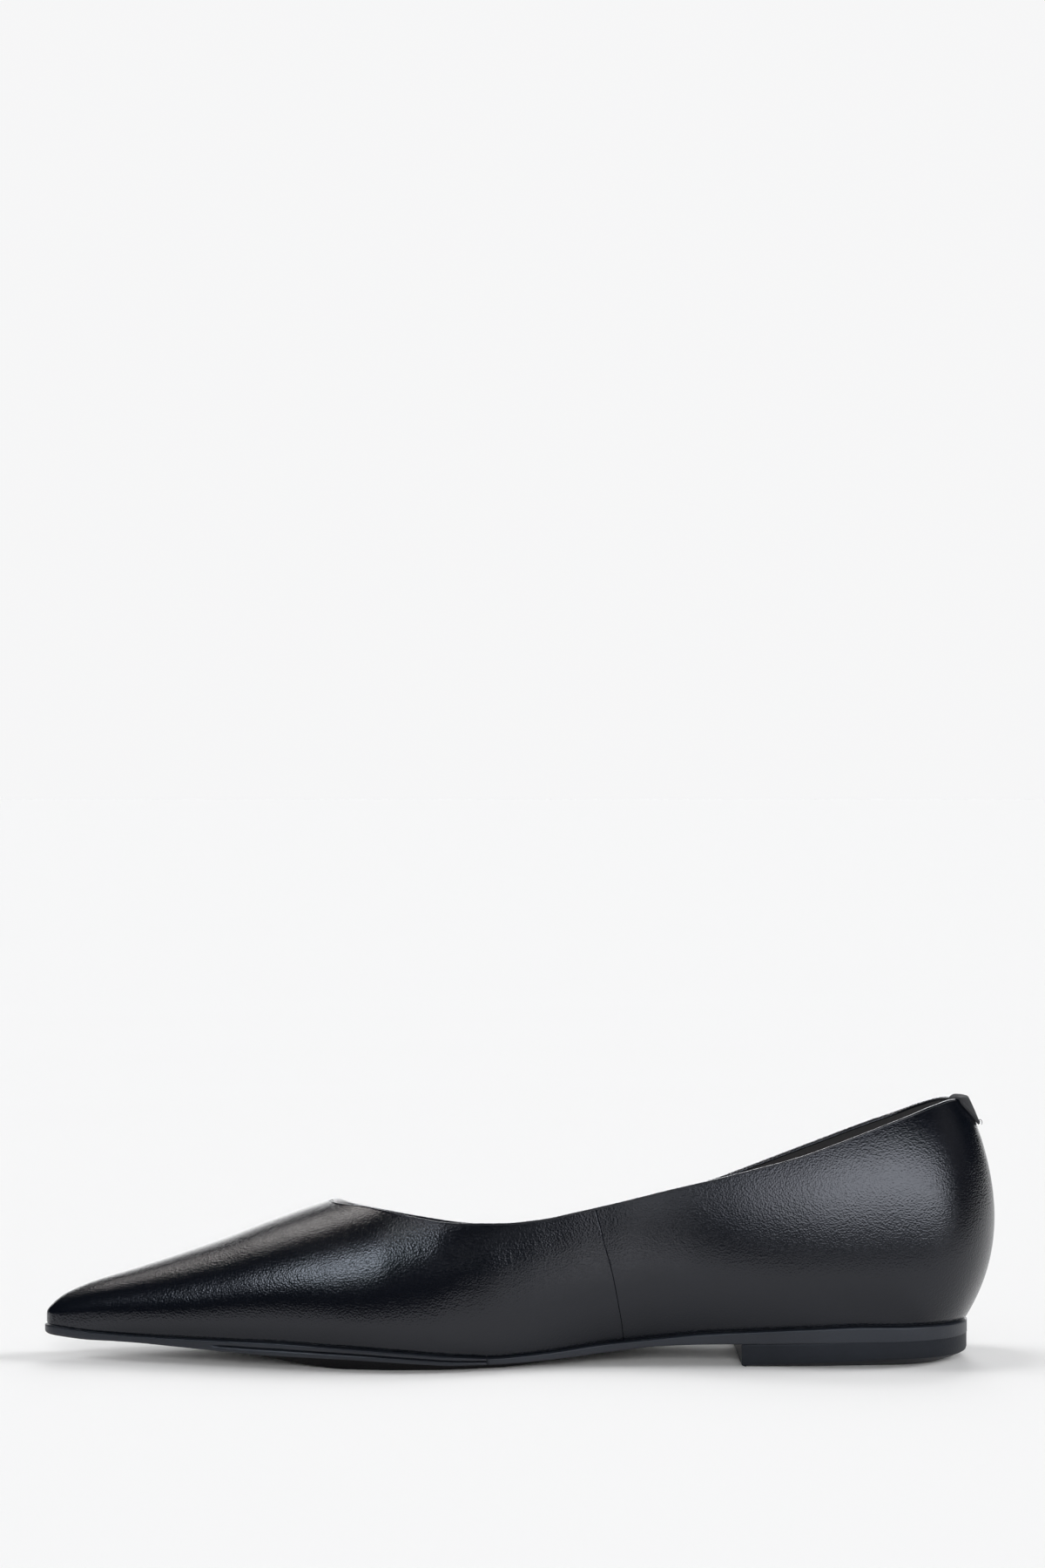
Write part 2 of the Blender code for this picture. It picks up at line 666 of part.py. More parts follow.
def make_heel_tab():
    """Tab folded over the collar at the back seam, deepest in the middle."""
    columns = []
    for side, sign in SIDES:
        run = []
        for i in range(TAB_STEPS + 1):
            across = 1 - i / TAB_STEPS
            place = tab_place(side, sign, across * TAB_WIDTH / 2)
            depth = TAB_DROP * (1 - TAB_POINT * across ** 2)
            inside = TAB_INSIDE * (1 - TAB_POINT / 2 * across ** 2)
            run.append(tab_path(place, side, sign, depth, inside))
        columns += run if side == "inner" else run[-2::-1]
    work = bmesh.new()
    grid = [[work.verts.new(point) for point in column] for column in columns]
    for left, right in zip(grid, grid[1:]):
        for level in range(len(left) - 1):
            work.faces.new((left[level], right[level], right[level + 1], left[level + 1]))
    tab = add_object("heel_tab", work, "matte_tab")
    skin = tab.modifiers.new("thickness", "SOLIDIFY")
    skin.thickness = TAB_THICKNESS
    skin.offset = 1
    skin.use_even_offset = True
    return tab


def down_the_wall(place, side, sign, drop):
    """Point of the outer face that lies drop below the collar, measured along the wall."""
    level = top_level(place, side)
    point = section_point(place, side, sign, level)
    gone = 0.0
    while gone < drop:
        level -= LEVEL_STEP
        after = section_point(place, side, sign, level)
        walked = np.linalg.norm(after - point)
        if gone + walked >= drop:
            return point + (after - point) * (drop - gone) / walked
        gone += walked
        point = after
    return point


def tab_path(place, side, sign, depth, inside):
    """Up the outside, over the collar and down the inside, a fit's gap off the wall."""
    top = top_level(place, side)
    rim = section_point(place, side, sign, top)
    below = section_point(place, side, sign, top - TAB_SLOPE_LEVELS)
    up = (rim - below) / np.linalg.norm(rim - below)
    spine = spine_point(place)
    out = np.array((rim[0] - spine[0], rim[1] - spine[1], 0.0))
    out = out / np.linalg.norm(out)
    out = out - up * np.dot(out, up)
    out = out / np.linalg.norm(out)
    points = []
    for share in TAB_OUTSIDE_SHARES:
        points.append(down_the_wall(place, side, sign, depth * share) + out * TAB_CLEAR)
    middle = rim - out * WALL / 2
    reach = WALL / 2 + TAB_CLEAR
    rise = WALL * RIM_CREST_SHARE + TAB_CLEAR
    for angle in TAB_OVER_ANGLES:
        a = math.radians(angle)
        points.append(middle + out * reach * math.cos(a) + up * rise * math.sin(a))
    for share in TAB_INSIDE_SHARES:
        foot = down_the_wall(place, side, sign, inside * share)
        points.append(foot - out * (WALL + TAB_CLEAR))
    return points


def main():
    for old in list(bpy.data.objects):
        bpy.data.objects.remove(old, do_unlink=True)
    make_upper()
    make_outsole()
    make_heel()
    make_insole()
    make_heel_tab()


main()
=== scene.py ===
"""Looks of the pointed toe flat shoe: leather, lining, folded edge, seam, sole, heel and tab.

Metres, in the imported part's own frame: toe towards -X, inner side towards -Y and the camera.
"""

import json
import math

import bmesh
import bpy
import numpy as np
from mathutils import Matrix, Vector

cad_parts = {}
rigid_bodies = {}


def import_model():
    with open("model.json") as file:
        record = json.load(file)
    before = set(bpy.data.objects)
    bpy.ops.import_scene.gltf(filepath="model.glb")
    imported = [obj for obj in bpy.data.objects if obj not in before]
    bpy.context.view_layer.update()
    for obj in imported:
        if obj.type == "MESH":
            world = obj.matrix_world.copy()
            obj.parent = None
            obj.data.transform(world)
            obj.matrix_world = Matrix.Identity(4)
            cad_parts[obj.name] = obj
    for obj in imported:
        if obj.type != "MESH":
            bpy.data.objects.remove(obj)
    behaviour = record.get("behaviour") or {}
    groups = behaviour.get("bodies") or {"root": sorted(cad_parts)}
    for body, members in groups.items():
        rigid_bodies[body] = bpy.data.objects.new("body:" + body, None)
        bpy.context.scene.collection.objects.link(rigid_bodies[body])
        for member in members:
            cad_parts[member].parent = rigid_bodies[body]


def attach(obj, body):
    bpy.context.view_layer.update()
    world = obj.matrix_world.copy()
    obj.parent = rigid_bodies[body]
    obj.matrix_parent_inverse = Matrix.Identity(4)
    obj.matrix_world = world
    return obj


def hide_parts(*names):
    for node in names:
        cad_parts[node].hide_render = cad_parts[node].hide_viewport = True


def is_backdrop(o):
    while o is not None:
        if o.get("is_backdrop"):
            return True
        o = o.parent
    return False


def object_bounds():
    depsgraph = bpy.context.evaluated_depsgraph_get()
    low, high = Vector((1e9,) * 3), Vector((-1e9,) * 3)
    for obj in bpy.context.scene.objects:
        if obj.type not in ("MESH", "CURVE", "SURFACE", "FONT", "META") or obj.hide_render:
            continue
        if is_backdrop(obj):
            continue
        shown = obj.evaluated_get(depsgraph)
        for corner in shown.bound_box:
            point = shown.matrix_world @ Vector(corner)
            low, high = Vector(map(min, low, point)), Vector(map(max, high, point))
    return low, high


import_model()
CAD_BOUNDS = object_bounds()

# Driving dimensions
LENGTH = 0.2653          # toe tip of the sole to the rearmost bulge of the counter
BALL_WIDTH = 0.0757      # feather line across the ball
UPPER_WIDTH = 0.0822     # upper at its widest
SEAT_WIDTH = 0.0510      # feather line across the heel seat
INSTEP_HEIGHT = 0.0434   # throat above the floor
BACK_HEIGHT = 0.0716     # collar at the back seam above the floor
SEAT_HEIGHT = 0.0106     # feather line at the back above the floor
BREAST_HEIGHT = 0.0062   # underside of the sole at the front of the heel
TOE_SPRING = 0.0068      # underside of the sole edge at the toe tip

# Walls, clearances and edges
WALL = 0.0018            # upper leather with its lining
MARGIN = 0.009           # upper turned in under the foot
FIT = 0.0003             # gap between pieces that touch
NOSE_RADIUS = 0.0060
SOLE_PROUD = 0.0005      # sole edge beyond the feather line
SOLE_TUCK = 0.0050       # tread set in from the sole edge
INSOLE_THICKNESS = 0.0022
INSOLE_EASE = 0.0010     # insole clear of the wall
HEEL_BREAST = 0.0640     # length of the heel block
HEEL_BEVEL = 0.0024      # bevel of the heel block at the floor, highest at the back
HEEL_TUCK = 0.0060       # how far that bevel goes in at the back
TAB_DROP = 0.0080        # heel tab below the collar outside, at the back seam
TAB_POINT = 0.87         # share of the drop that the tab loses towards its ends
TAB_CLEAR = 0.0004       # tab off the wall, a little over FIT where the wall is curved
TAB_INSIDE = 0.0120      # heel tab below the collar inside
TAB_THICKNESS = 0.0006

# Places along the shoe, from the toe tip
THROAT_AT = 0.0796       # front of the collar opening
BALL_AT = 0.35           # widest place of the sole, a share of LENGTH
STEP_START = 0.0465      # front of the groove in the sole edge
STEP_END = 0.1241        # joint where the groove ends
HEEL_CENTRE_BACK = 0.0315  # middle of the counter's round, from the back
HEEL_EDGE_BACK = 0.0082  # feather line, from the rearmost bulge
NOSE_SLOPE = math.radians(25)  # side of the nose against the shoe's axis

# Sections: at is a share of LENGTH from the toe tip; the half widths are shares of BALL_WIDTH
# (feather) and UPPER_WIDTH (bulge), the heights shares of INSTEP_HEIGHT.
SECTION_COLUMNS = ("at", "inner_feather", "outer_feather", "inner_bulge", "outer_bulge",
                   "inner_bulge_z", "outer_bulge_z", "crown_z", "ridge_in")
SECTIONS = (
    (0.015, 0.072, 0.072, 0.069, 0.069, 0.27, 0.27, 0.378, 0.00),
    (0.047, 0.122, 0.117, 0.118, 0.114, 0.29, 0.29, 0.464, 0.00),
    (0.096, 0.186, 0.184, 0.187, 0.185, 0.31, 0.31, 0.558, 0.01),
    (0.141, 0.244, 0.250, 0.247, 0.251, 0.33, 0.33, 0.648, 0.02),
    (0.187, 0.300, 0.318, 0.302, 0.316, 0.36, 0.35, 0.746, 0.03),
    (0.232, 0.351, 0.384, 0.353, 0.380, 0.39, 0.38, 0.853, 0.04),
    (0.277, 0.398, 0.442, 0.399, 0.438, 0.40, 0.39, 0.954, 0.05),
    (0.322, 0.437, 0.490, 0.437, 0.488, 0.39, 0.39, 1.045, 0.06),
    (0.368, 0.459, 0.526, 0.460, 0.523, 0.40, 0.39, 1.150, 0.06),
    (0.413, 0.453, 0.543, 0.457, 0.540, 0.44, 0.40, 1.245, 0.06),
    (0.458, 0.415, 0.538, 0.428, 0.535, 0.52, 0.42, 1.340, 0.05),
    (0.503, 0.358, 0.513, 0.389, 0.513, 0.63, 0.45, 1.430, 0.05),
    (0.548, 0.298, 0.474, 0.360, 0.484, 0.74, 0.49, 1.520, 0.04),
    (0.594, 0.256, 0.432, 0.345, 0.455, 0.82, 0.54, 1.610, 0.04),
    (0.639, 0.246, 0.394, 0.345, 0.431, 0.84, 0.60, 1.700, 0.03),
    (0.684, 0.263, 0.368, 0.353, 0.412, 0.83, 0.66, 1.790, 0.02),
    (0.729, 0.295, 0.352, 0.364, 0.399, 0.79, 0.70, 1.880, 0.01),
    (0.775, 0.321, 0.344, 0.373, 0.390, 0.76, 0.73, 1.960, 0.00),
    (0.820, 0.335, 0.341, 0.380, 0.386, 0.76, 0.75, 2.030, 0.00),
    (0.881, 0.337, 0.337, 0.383, 0.383, 0.78, 0.78, 2.110, 0.00),
)
BACK_BULGE_Z = 0.92      # bulge at the back seam, a share of INSTEP_HEIGHT
COLLAR_REACH = 0.78      # collar at the back seam, a share of the counter's round

# Edges: feather is the foot of the upper's wall and floor the underside in the middle, as
# shares of SEAT_HEIGHT; tread is the lower edge of the sole's side, as a share of TOE_SPRING
# in front of the ball and of BREAST_HEIGHT at the heel.
EDGE_COLUMNS = ("at", "feather", "tread", "floor")
EDGES = (
    (0.000, 0.85, 1.00, 0.600),
    (0.050, 0.74, 0.83, 0.475),
    (0.096, 0.70, 0.80, 0.455),
    (0.150, 0.69, 0.71, 0.395),
    (0.200, 0.69, 0.61, 0.325),
    (0.245, 0.69, 0.54, 0.210),
    (0.290, 0.65, 0.52, 0.060),
    (0.320, 0.62, 0.50, 0.000),
    (0.350, 0.58, 0.46, 0.000),
    (0.400, 0.48, 0.34, 0.000),
    (0.440, 0.39, 0.26, 0.000),
    (0.480, 0.33, 0.25, 0.000),
    (0.530, 0.39, 0.31, 0.100),
    (0.590, 0.55, 0.53, 0.265),
    (0.640, 0.67, 0.77, 0.425),
    (0.690, 0.81, 0.90, 0.510),
    (0.730, 0.89, 0.97, 0.555),
    (0.800, 1.00, 1.06, 0.620),
    (0.860, 1.06, 1.14, 0.667),
    (0.920, 1.06, 1.17, 0.684),
    (1.000, 1.00, 1.16, 0.679),
)

# Collar: shares of LENGTH from the toe tip, and of BACK_HEIGHT.
COLLAR_COLUMNS = ("at", "inner", "outer")
COLLAR = (
    (0.302, 0.608, 0.608),
    (0.309, 0.606, 0.588),
    (0.318, 0.606, 0.565),
    (0.335, 0.606, 0.538),
    (0.353, 0.599, 0.517),
    (0.389, 0.577, 0.482),
    (0.435, 0.556, 0.450),
    (0.484, 0.554, 0.436),
    (0.522, 0.565, 0.441),
    (0.560, 0.592, 0.470),
    (0.598, 0.623, 0.508),
    (0.654, 0.674, 0.571),
    (0.710, 0.723, 0.636),
    (0.748, 0.759, 0.690),
    (0.786, 0.797, 0.746),
    (0.824, 0.846, 0.801),
    (0.861, 0.898, 0.855),
    (0.899, 0.951, 0.908),
    (0.934, 0.992, 0.962),
    (0.955, 1.006, 0.988),
    (0.975, 1.000, 1.000),
)

# Shape of the sections and edges
MARGIN_SHARE = 0.55      # most of the half width that the turned margin may take
NOSE_SHEAR = 5           # nose radii over which the sections lean back from the nose
SEAT_FROM, SEAT_FULL = 0.70, 0.86  # shares of LENGTH where SEAT_WIDTH takes over
TUCK_LEAST = 0.12        # share of the tuck left at the nose and the seat
TUCK_RISE, TUCK_FALL = 4, 6  # nose radii over which the tuck grows and dies out
BEVEL_LEAST = 0.15       # share of the heel's bevel left at its breast
RIM_CREST = 0.4          # height of the round rim, a share of WALL
CURVE_STEP = 0.004       # step along a section when a length is measured on it
LOWER_POWER = 2.2        # how soon the wall turns upright above the feather line
CROWN_POWER = 1.95       # roundness of the section over the instep
BACK_POWER = 1.70        # the same up the back seam, which leans in sooner

TOE_X = -LENGTH / 2
HEEL_X = LENGTH / 2
HEEL_CENTRE_X = HEEL_X - HEEL_CENTRE_BACK
NOSE_CENTRE_X = TOE_X + SOLE_PROUD + NOSE_RADIUS
SIDE_START_X = NOSE_CENTRE_X - NOSE_RADIUS * math.sin(NOSE_SLOPE)  # where the nose's round ends
SIDES = {"inner": -1, "outer": 1}  # sign of Y

# Fineness of the scene's meshes
NOSE_COLUMNS = 16
VAMP_COLUMNS = 60
QUARTER_COLUMNS = 110
HEEL_COLUMNS = 36
SOLE_COLUMNS = 200
HEEL_SIDE_COLUMNS = 40
LOWER_ROWS = 20          # rows from the foot of the wall to the bulge
UPPER_ROWS = 30          # rows from the bulge to the topline
MARGIN_ROWS = (1.0, 0.6, 0.25)  # rows of the turned margin, shares of its depth
FOOT_ROWS = range(0, 90, 15)    # rows of the round at the foot of the wall, in degrees
THROAT_CROWD = 0.85      # crowding of the columns towards the throat, 0 to 1
FOOT_ROUND = 0.0006      # radius of the round at the foot of the wall
FOOT_MOST = 0.85         # most of the height up to the bulge that the round may take
LINING_FROM = 11         # row where the lining starts, below the footbed's top
HAIR = 1e-7              # slack when places are compared
WIDEST_FROM, WIDEST_SPAN, WIDEST_TRIES = 0.2, 0.65, 400  # where the widest point is looked for

# Layers of the wall and the folded edge along the topline
SKIN = 0.0009            # outer leather
SKIN_GAP = 0.00004       # gap between the leather and the lining
BEAD_PROUD = 0.00014     # folded edge beyond each face of the wall
BEAD_WIDTH = 0.0008      # depth of the folded edge below its round top
BEAD_ROUND = 0.45        # roundness of its top, 1 is a half circle
BEAD_RISE = 0.0007       # folded edge above the topline
BEAD_STEP = 0.0009       # step along the topline
BEAD_ANGLES = range(0, 181, 20)
# Rest of its section: share of its half width across, share of BEAD_WIDTH down
BEAD_FOOT = ((-1.0, 0.8), (-0.8, 1.0), (0.6, 1.0), (0.93, 0.93), (1.0, 0.75))

# Side seam: share of the height above the feather line, x
SEAM = (
    (0.000, 0.02865),
    (0.148, 0.02805),
    (0.262, 0.02725),
    (0.387, 0.02640),
    (0.501, 0.02555),
    (0.615, 0.02455),
    (0.700, 0.02355),
    (0.763, 0.02290),
    (0.865, 0.02205),
    (0.922, 0.02145),
    (1.000, 0.02075),
)
SEAM_X = 0.0255          # column that leans along the seam
SEAM_COLUMNS = (0.00010, 0.00020, 0.00032, 0.00048, 0.00070, 0.00095, 0.0013, 0.0018, 0.0025)
SEAM_CLEAR = 1.2         # how far the even columns keep off, in widths of the last of these
SEAM_REACH = 0.030       # how far from the seam the columns still lean with it
SEAM_GROOVE = 0.00007    # half width of the seam's groove
SEAM_DEPTH = 0.00035
SEAM_FROM_ROW = 7        # row in the round at the foot where the groove starts

# Creases: side, start and end as (x, z), half width, height (below zero is a trough)
CREASES = (
    ("inner", (-0.0182, 0.0247), (-0.0090, 0.0236), 0.0013, -0.00005),
    ("inner", (-0.0170, 0.0285), (-0.0110, 0.0262), 0.0014, 0.00003),
    ("inner", (0.0790, 0.0245), (0.0870, 0.0225), 0.0016, -0.00009),
    ("inner", (0.0800, 0.0215), (0.0925, 0.0185), 0.0015, -0.00010),
    ("inner", (0.0880, 0.0195), (0.0975, 0.0160), 0.0012, -0.00011),
    ("inner", (0.0860, 0.0175), (0.0955, 0.0143), 0.0012, 0.00008),
    ("outer", (-0.0250, 0.0215), (-0.0120, 0.0240), 0.0015, -0.00008),
    ("outer", (-0.0210, 0.0175), (-0.0100, 0.0190), 0.0016, -0.00007),
    ("outer", (0.0780, 0.0230), (0.0900, 0.0195), 0.0016, -0.00008),
)
CREASE_ENDS = 0.12       # how far a crease has risen at its ends, a share of half a wave

# Side of the sole: share of its height, rounding inwards, groove inwards
EDGE_PROFILE = (
    (1.00, 0.00014, 0.0),
    (0.985, 0.00006, 0.0),
    (0.95, 0.00002, 0.0),
    (0.88, 0.0, 0.0),
    (0.76, 0.0, 0.0),
    (0.66, 0.0, 0.00006),
    (0.60, 0.0, 0.00022),
    (0.56, 0.0, 0.00070),
    (0.51, 0.0, 0.00085),
    (0.46, 0.0, 0.00045),
    (0.42, 0.0, 0.00015),
    (0.35, 0.0, 0.00003),
    (0.24, 0.0, 0.0),
    (0.12, 0.00002, 0.0),
    (0.05, 0.00008, 0.0),
    (0.00, 0.00022, 0.0),
)
GROOVE_RISE = 0.006        # length over which the groove fades in at the front
GROOVE_END = 0.0004        # and out at the joint
TICK_DEPTH = 0.0005        # notch across the edge at the joint
TICK_WIDTH = 0.00035
TICK_COLUMNS = (-0.0007, -0.0004, -0.0002, 0.0, 0.0002, 0.0004, 0.0007)
TICK_CLEAR = 0.0009        # how far the even columns keep off the joint
JOINT_FADE_FROM = 0.075    # the joint of sole and heel fades out between these
JOINT_FADE_TO = 0.100
HEEL_JOINT = 0.00006       # seen gap between sole and heel
HEEL_STEP = 0.00012        # seen step of the heel inside the sole edge

# Underside of the sole: share of the tuck inwards, share of the way down to the tread
UNDERSIDE = ((0.24, 0.18), (0.90, 0.85), (1.15, 1.00))

# Heel block: share of the height above its bevel (below zero, down the bevel), share of the
# tuck, rounding inwards
HEEL_PROFILE = (
    (1.00, 0.0, 0.0001),
    (0.96, 0.0, 0.00003),
    (0.88, 0.0, 0.0),
    (0.50, 0.0, 0.0),
    (0.15, 0.0, 0.0),
    (0.00, 0.03, 0.00005),
    (-0.15, 0.12, 0.0001),
    (-0.50, 0.45, 0.0001),
    (-0.85, 0.85, 0.0001),
    (-0.97, 1.0, 0.0002),
    (-1.00, 1.1, 0.0004),
)

# Edge of the footbed: inset, share of its thickness
FOOTBED_PROFILE = (
    (0.0022, 1.0),
    (0.0010, 1.0),
    (0.0004, 0.93),
    (0.0001, 0.80),
    (0.0, 0.6),
    (0.0, 0.1),
    (0.0002, 0.0),
)
FOOTBED_NOSE_REACH = 4   # nose radii over which the footbed keeps further off the wall
FOOTBED_NOSE_EASE = 2    # how much further at the tip, in insole eases

# Heel tab, its stitches and the loose end of their thread
TAB_HALVES = {"inner": 0.0117, "outer": 0.0088}  # width on each side of the back seam
TAB_FLAT = 0.62          # height of the tab over the edge against its reach
TAB_ROWS = 14
TAB_COLUMNS = 20
TAB_ANGLES = range(15, 180, 15)
TAB_HALVINGS = 30        # halvings that find a column's place
UNDER_RIM = 0.08         # levels below the topline between which the wall's lean is taken
STITCH_PITCH = 0.0013
STITCH_RADIUS = 0.00013
STITCH_LIFT = 0.00010
STITCH_SPAN = (0.15, 0.85)  # start and end of a stitch in its pitch
STITCH_LINE = 0.2        # share of the way from the tab's second row down to its lowest
LOOP_BEFORE = 0.0012     # root of the loose loop before the middle of the tab
LOOP_POINTS = 15
LOOP_START, LOOP_TURN = -60, 300  # degrees
LOOP_HALVES = (0.0006, 0.0008)  # half its length along X, half its height
LOOP_SHIFT = (0.0002, 0.0003, -0.0003)  # its middle from the root; along Y from start to end
LOOP_THIN = 0.7          # its thread against that of the stitches
THREAD_TIP = 0.35        # thread at its ends
THREAD_SIDE = (0.3, 0.2, 0.93)  # direction that no thread runs in

# Patterns of the materials
BLOTCH_SCALE = 30.0      # tones and roughness
CELL_SHARE = 1.4         # fineness of the grain's cells against its noise
RAMP_STOPS = (0.3, 0.75)

# Camera and studio
COOL_TINT = (0.92, 0.93, 1.0, 1)
CAMERA_AT = (0.00085, -1.09927, 0.1595)
CAMERA_LENS, CAMERA_SENSOR = 90, 36  # millimetres
CAMERA_NEAR = 0.01
FLOOR_HALF = 40.0        # half the width of the floor
FLOOR_COLOUR = (0.86, 0.86, 0.86, 1)
FLAG_COLOUR = (0.004, 0.004, 0.004, 1)
WORLD_COLOUR = (0.005, 0.007, 0.012, 1)
PALE_COLOUR = (0.925, 0.925, 0.93, 1)

# Dark flag just above the floor, as (x, y); it ends where the wall's grey reflection does
FLAG_HEIGHT = 0.001
FLAG = (
    (-2.0, -3.0), (2.0, -3.0), (2.0, 0.5), (0.55, 0.10), (0.45, -0.20), (0.24, -0.19),
    (0.12, -0.225), (0.06, -0.21), (0.00, -0.14), (-0.05, -0.11), (-0.12, -0.09),
    (-0.19, -0.06), (-0.40, 0.05), (-2.0, 0.4),
)
BRIGHT_CARD = ((-0.8, 1.6, 0.0), (0.8, 1.6, 0.0), (0.8, 1.6, 0.6), (-0.8, 1.6, 0.6))
BRIGHT_CARD_STRENGTH = 0.8

# Soft light from above: name, turn in degrees, strength, angular size in degrees
SKIES = (
    ("sky", (8, 0, 0), 0.60, 150.0),
    ("left_sky", (-15, -70, 0), 2.3, 30.0),
    ("right_sky", (-15, 70, 0), 2.3, 30.0),
    ("back_sky", (-74, 0, 0), 2.4, 24.0),
    ("front_sky", (74, 0, 0), 2.2, 24.0),
)
LOW_PIECES = ("outsole_body", "heel_block")  # the only ones that shade the floor

# Cards brightest in their middle: name, place, target, half size, soft shares, strength, colour
GLOWS = (
    ("quarter_glow", (0.19, -0.12, 0.079), (0.19, 0.0, 0.079), (0.15, 0.046), (0.32, 0.75), 5.6,
     (0.93, 0.96, 1)),
    ("waist_glow", (0.013, -0.211, 0.127), (-0.018, -0.037, 0.033), (0.035, 0.030), (1, 1), 1.8,
     (0.93, 0.96, 1)),
    ("dip_glow", (0.031, -0.07, 0.045), (0.031, 0.0, 0.045), (0.0105, 0.045), (0.7, 0.5), 1.15,
     (1, 1, 1)),
    ("back_glow", (0.95, -0.05, 0.42), (0.12, -0.02, 0.055), (0.35, 0.28), (0.8, 0.8), 0.3,
     (1, 0.97, 0.96)),
    ("vamp_glow", (-0.450, -0.545, 0.650), (-0.045, -0.036, 0.03), (0.225, 0.225), (0.7, 0.7),
     11.5, (0.86, 0.93, 1)),
    ("warm_glow", (-0.429, 0.507, 0.803), (-0.06, -0.02, 0.037), (0.22, 0.20), (0.9, 0.9), 7.8,
     (1, 0.95, 0.90)),
)

# Softboxes: name, place, target, size, power, colour
LIGHTS = (
    ("edge_box", (0.05, -0.30, 1.3), (0.05, 0.0, 0.05), (0.9, 0.28), 3.6, (1, 1, 1)),
    ("outer_box", (0.15, 0.9, 0.45), (0.0, 0.0, 0.03), (0.7, 0.35), 3.0, (0.95, 0.97, 1)),
)


def smooth_table(rows, columns):
    """Functions of `at` that run smoothly through each column, without overshoot."""
    table = np.array(rows)
    at = table[:, 0]
    curves = {}
    for index, name in enumerate(columns[1:], start=1):
        values = table[:, index]
        slopes = np.diff(values) / np.diff(at)
        tangents = np.empty(len(at))
        tangents[0], tangents[-1] = slopes[0], slopes[-1]
        for i in range(1, len(at) - 1):
            before, after = slopes[i - 1], slopes[i]
            if before * after <= 0:
                tangents[i] = 0.0
            else:
                left, right = at[i] - at[i - 1], at[i + 1] - at[i]
                w1, w2 = 2 * right + left, right + 2 * left
                tangents[i] = (w1 + w2) / (w1 / before + w2 / after)

        def curve(x, at=at, values=values, tangents=tangents):
            x = min(max(x, at[0]), at[-1])
            i = min(int(np.searchsorted(at, x, side="right")) - 1, len(at) - 2)
            span = at[i + 1] - at[i]
            t = (x - at[i]) / span
            rise = values[i + 1] - values[i]
            a = span * tangents[i] - rise
            b = rise - span * tangents[i + 1]
            return float(values[i] + t * rise + t * (1 - t) * ((1 - t) * a + t * b))

        curves[name] = curve
    return curves


def clamp(value):
    return min(1.0, max(0.0, value))


def smooth_step(value):
    value = clamp(value)
    return value * value * (3 - 2 * value)


def unit(vector):
    return vector / np.linalg.norm(vector)


SECTION = smooth_table(SECTIONS, SECTION_COLUMNS)
EDGE = smooth_table(EDGES, EDGE_COLUMNS)
COLLAR_LINE = smooth_table(COLLAR, COLLAR_COLUMNS)


def share_at(x):
    """Share of LENGTH from the toe tip."""
    return (x - TOE_X) / LENGTH


def feather_z(x):
    return SEAT_HEIGHT * EDGE["feather"](share_at(x))


def tread_z(x):
    """Lower edge of the sole's side: from the toe spring over the ball to the breast height."""
    at = share_at(x)
    back = clamp((at - BALL_AT) / (1 - HEEL_BREAST / LENGTH - BALL_AT))
    lift = TOE_SPRING + (BREAST_HEIGHT - TOE_SPRING) * back
    return lift * EDGE["tread"](at)


def crown_z(x):
    """Top line of the last; in front of the nose it runs straight on down."""
    first, second = SECTIONS[0][0], SECTIONS[1][0]
    at = share_at(x)
    if at >= first:
        return INSTEP_HEIGHT * SECTION["crown_z"](at)
    slope = (SECTION["crown_z"](second) - SECTION["crown_z"](first)) / (second - first)
    return INSTEP_HEIGHT * (SECTION["crown_z"](first) + slope * (at - first))


def half_width(x, side, level):
    """From the axis to the feather line or the bulge of one side."""
    width = BALL_WIDTH if level == "feather" else UPPER_WIDTH
    at = share_at(x)
    value = width * SECTION[f"{side}_{level}"](at)
    if level == "feather":
        seat = clamp((at - SEAT_FROM) / (SEAT_FULL - SEAT_FROM))
        value += (SEAT_WIDTH / 2 - BALL_WIDTH * SECTIONS[-1][1]) * seat
    return value


def foot_point(place, side, level, proud=0.0):
    """Outline of the feather line or of the bulge, moved outwards by proud."""
    kind, value = place
    sign = SIDES[side]
    if kind == "nose":
        radius = NOSE_RADIUS + proud
        return np.array((NOSE_CENTRE_X - radius * math.sin(value), sign * radius * math.cos(value)))
    if kind == "heel":
        width = half_width(HEEL_CENTRE_X, side, level)
        reach = HEEL_CENTRE_BACK
        if level == "feather":
            reach -= HEEL_EDGE_BACK
        return np.array((HEEL_CENTRE_X + (reach + proud) * math.sin(value),
                         sign * (width + proud) * math.cos(value)))
    return np.array((value, sign * (half_width(value, side, level) + proud)))


def spine_point(place):
    """Plan point of the ridge that the section of this place runs to."""
    kind, value = place
    if kind == "nose":
        x = NOSE_CENTRE_X
    elif kind == "heel":
        x = HEEL_CENTRE_X
    else:
        lead = NOSE_CENTRE_X - SIDE_START_X
        reach = NOSE_RADIUS * NOSE_SHEAR
        x = value + lead * max(0.0, 1 - (value - SIDE_START_X) / reach) ** 2
    return np.array((x, -BALL_WIDTH * SECTION["ridge_in"](share_at(x))))


def bulge_z(place, side):
    kind, value = place
    if kind == "nose":
        return INSTEP_HEIGHT * SECTIONS[0][5]
    if kind == "heel":
        start = SECTION[f"{side}_bulge_z"](share_at(HEEL_CENTRE_X))
        return INSTEP_HEIGHT * (start + (BACK_BULGE_Z - start) * math.sin(value) ** 2)
    return INSTEP_HEIGHT * SECTION[f"{side}_bulge_z"](share_at(value))


def collar_z(place, side):
    kind, value = place
    x = value
    if kind == "heel":
        x = HEEL_CENTRE_X + COLLAR_REACH * HEEL_CENTRE_BACK * math.sin(value)
    return BACK_HEIGHT * COLLAR_LINE[side](share_at(x))


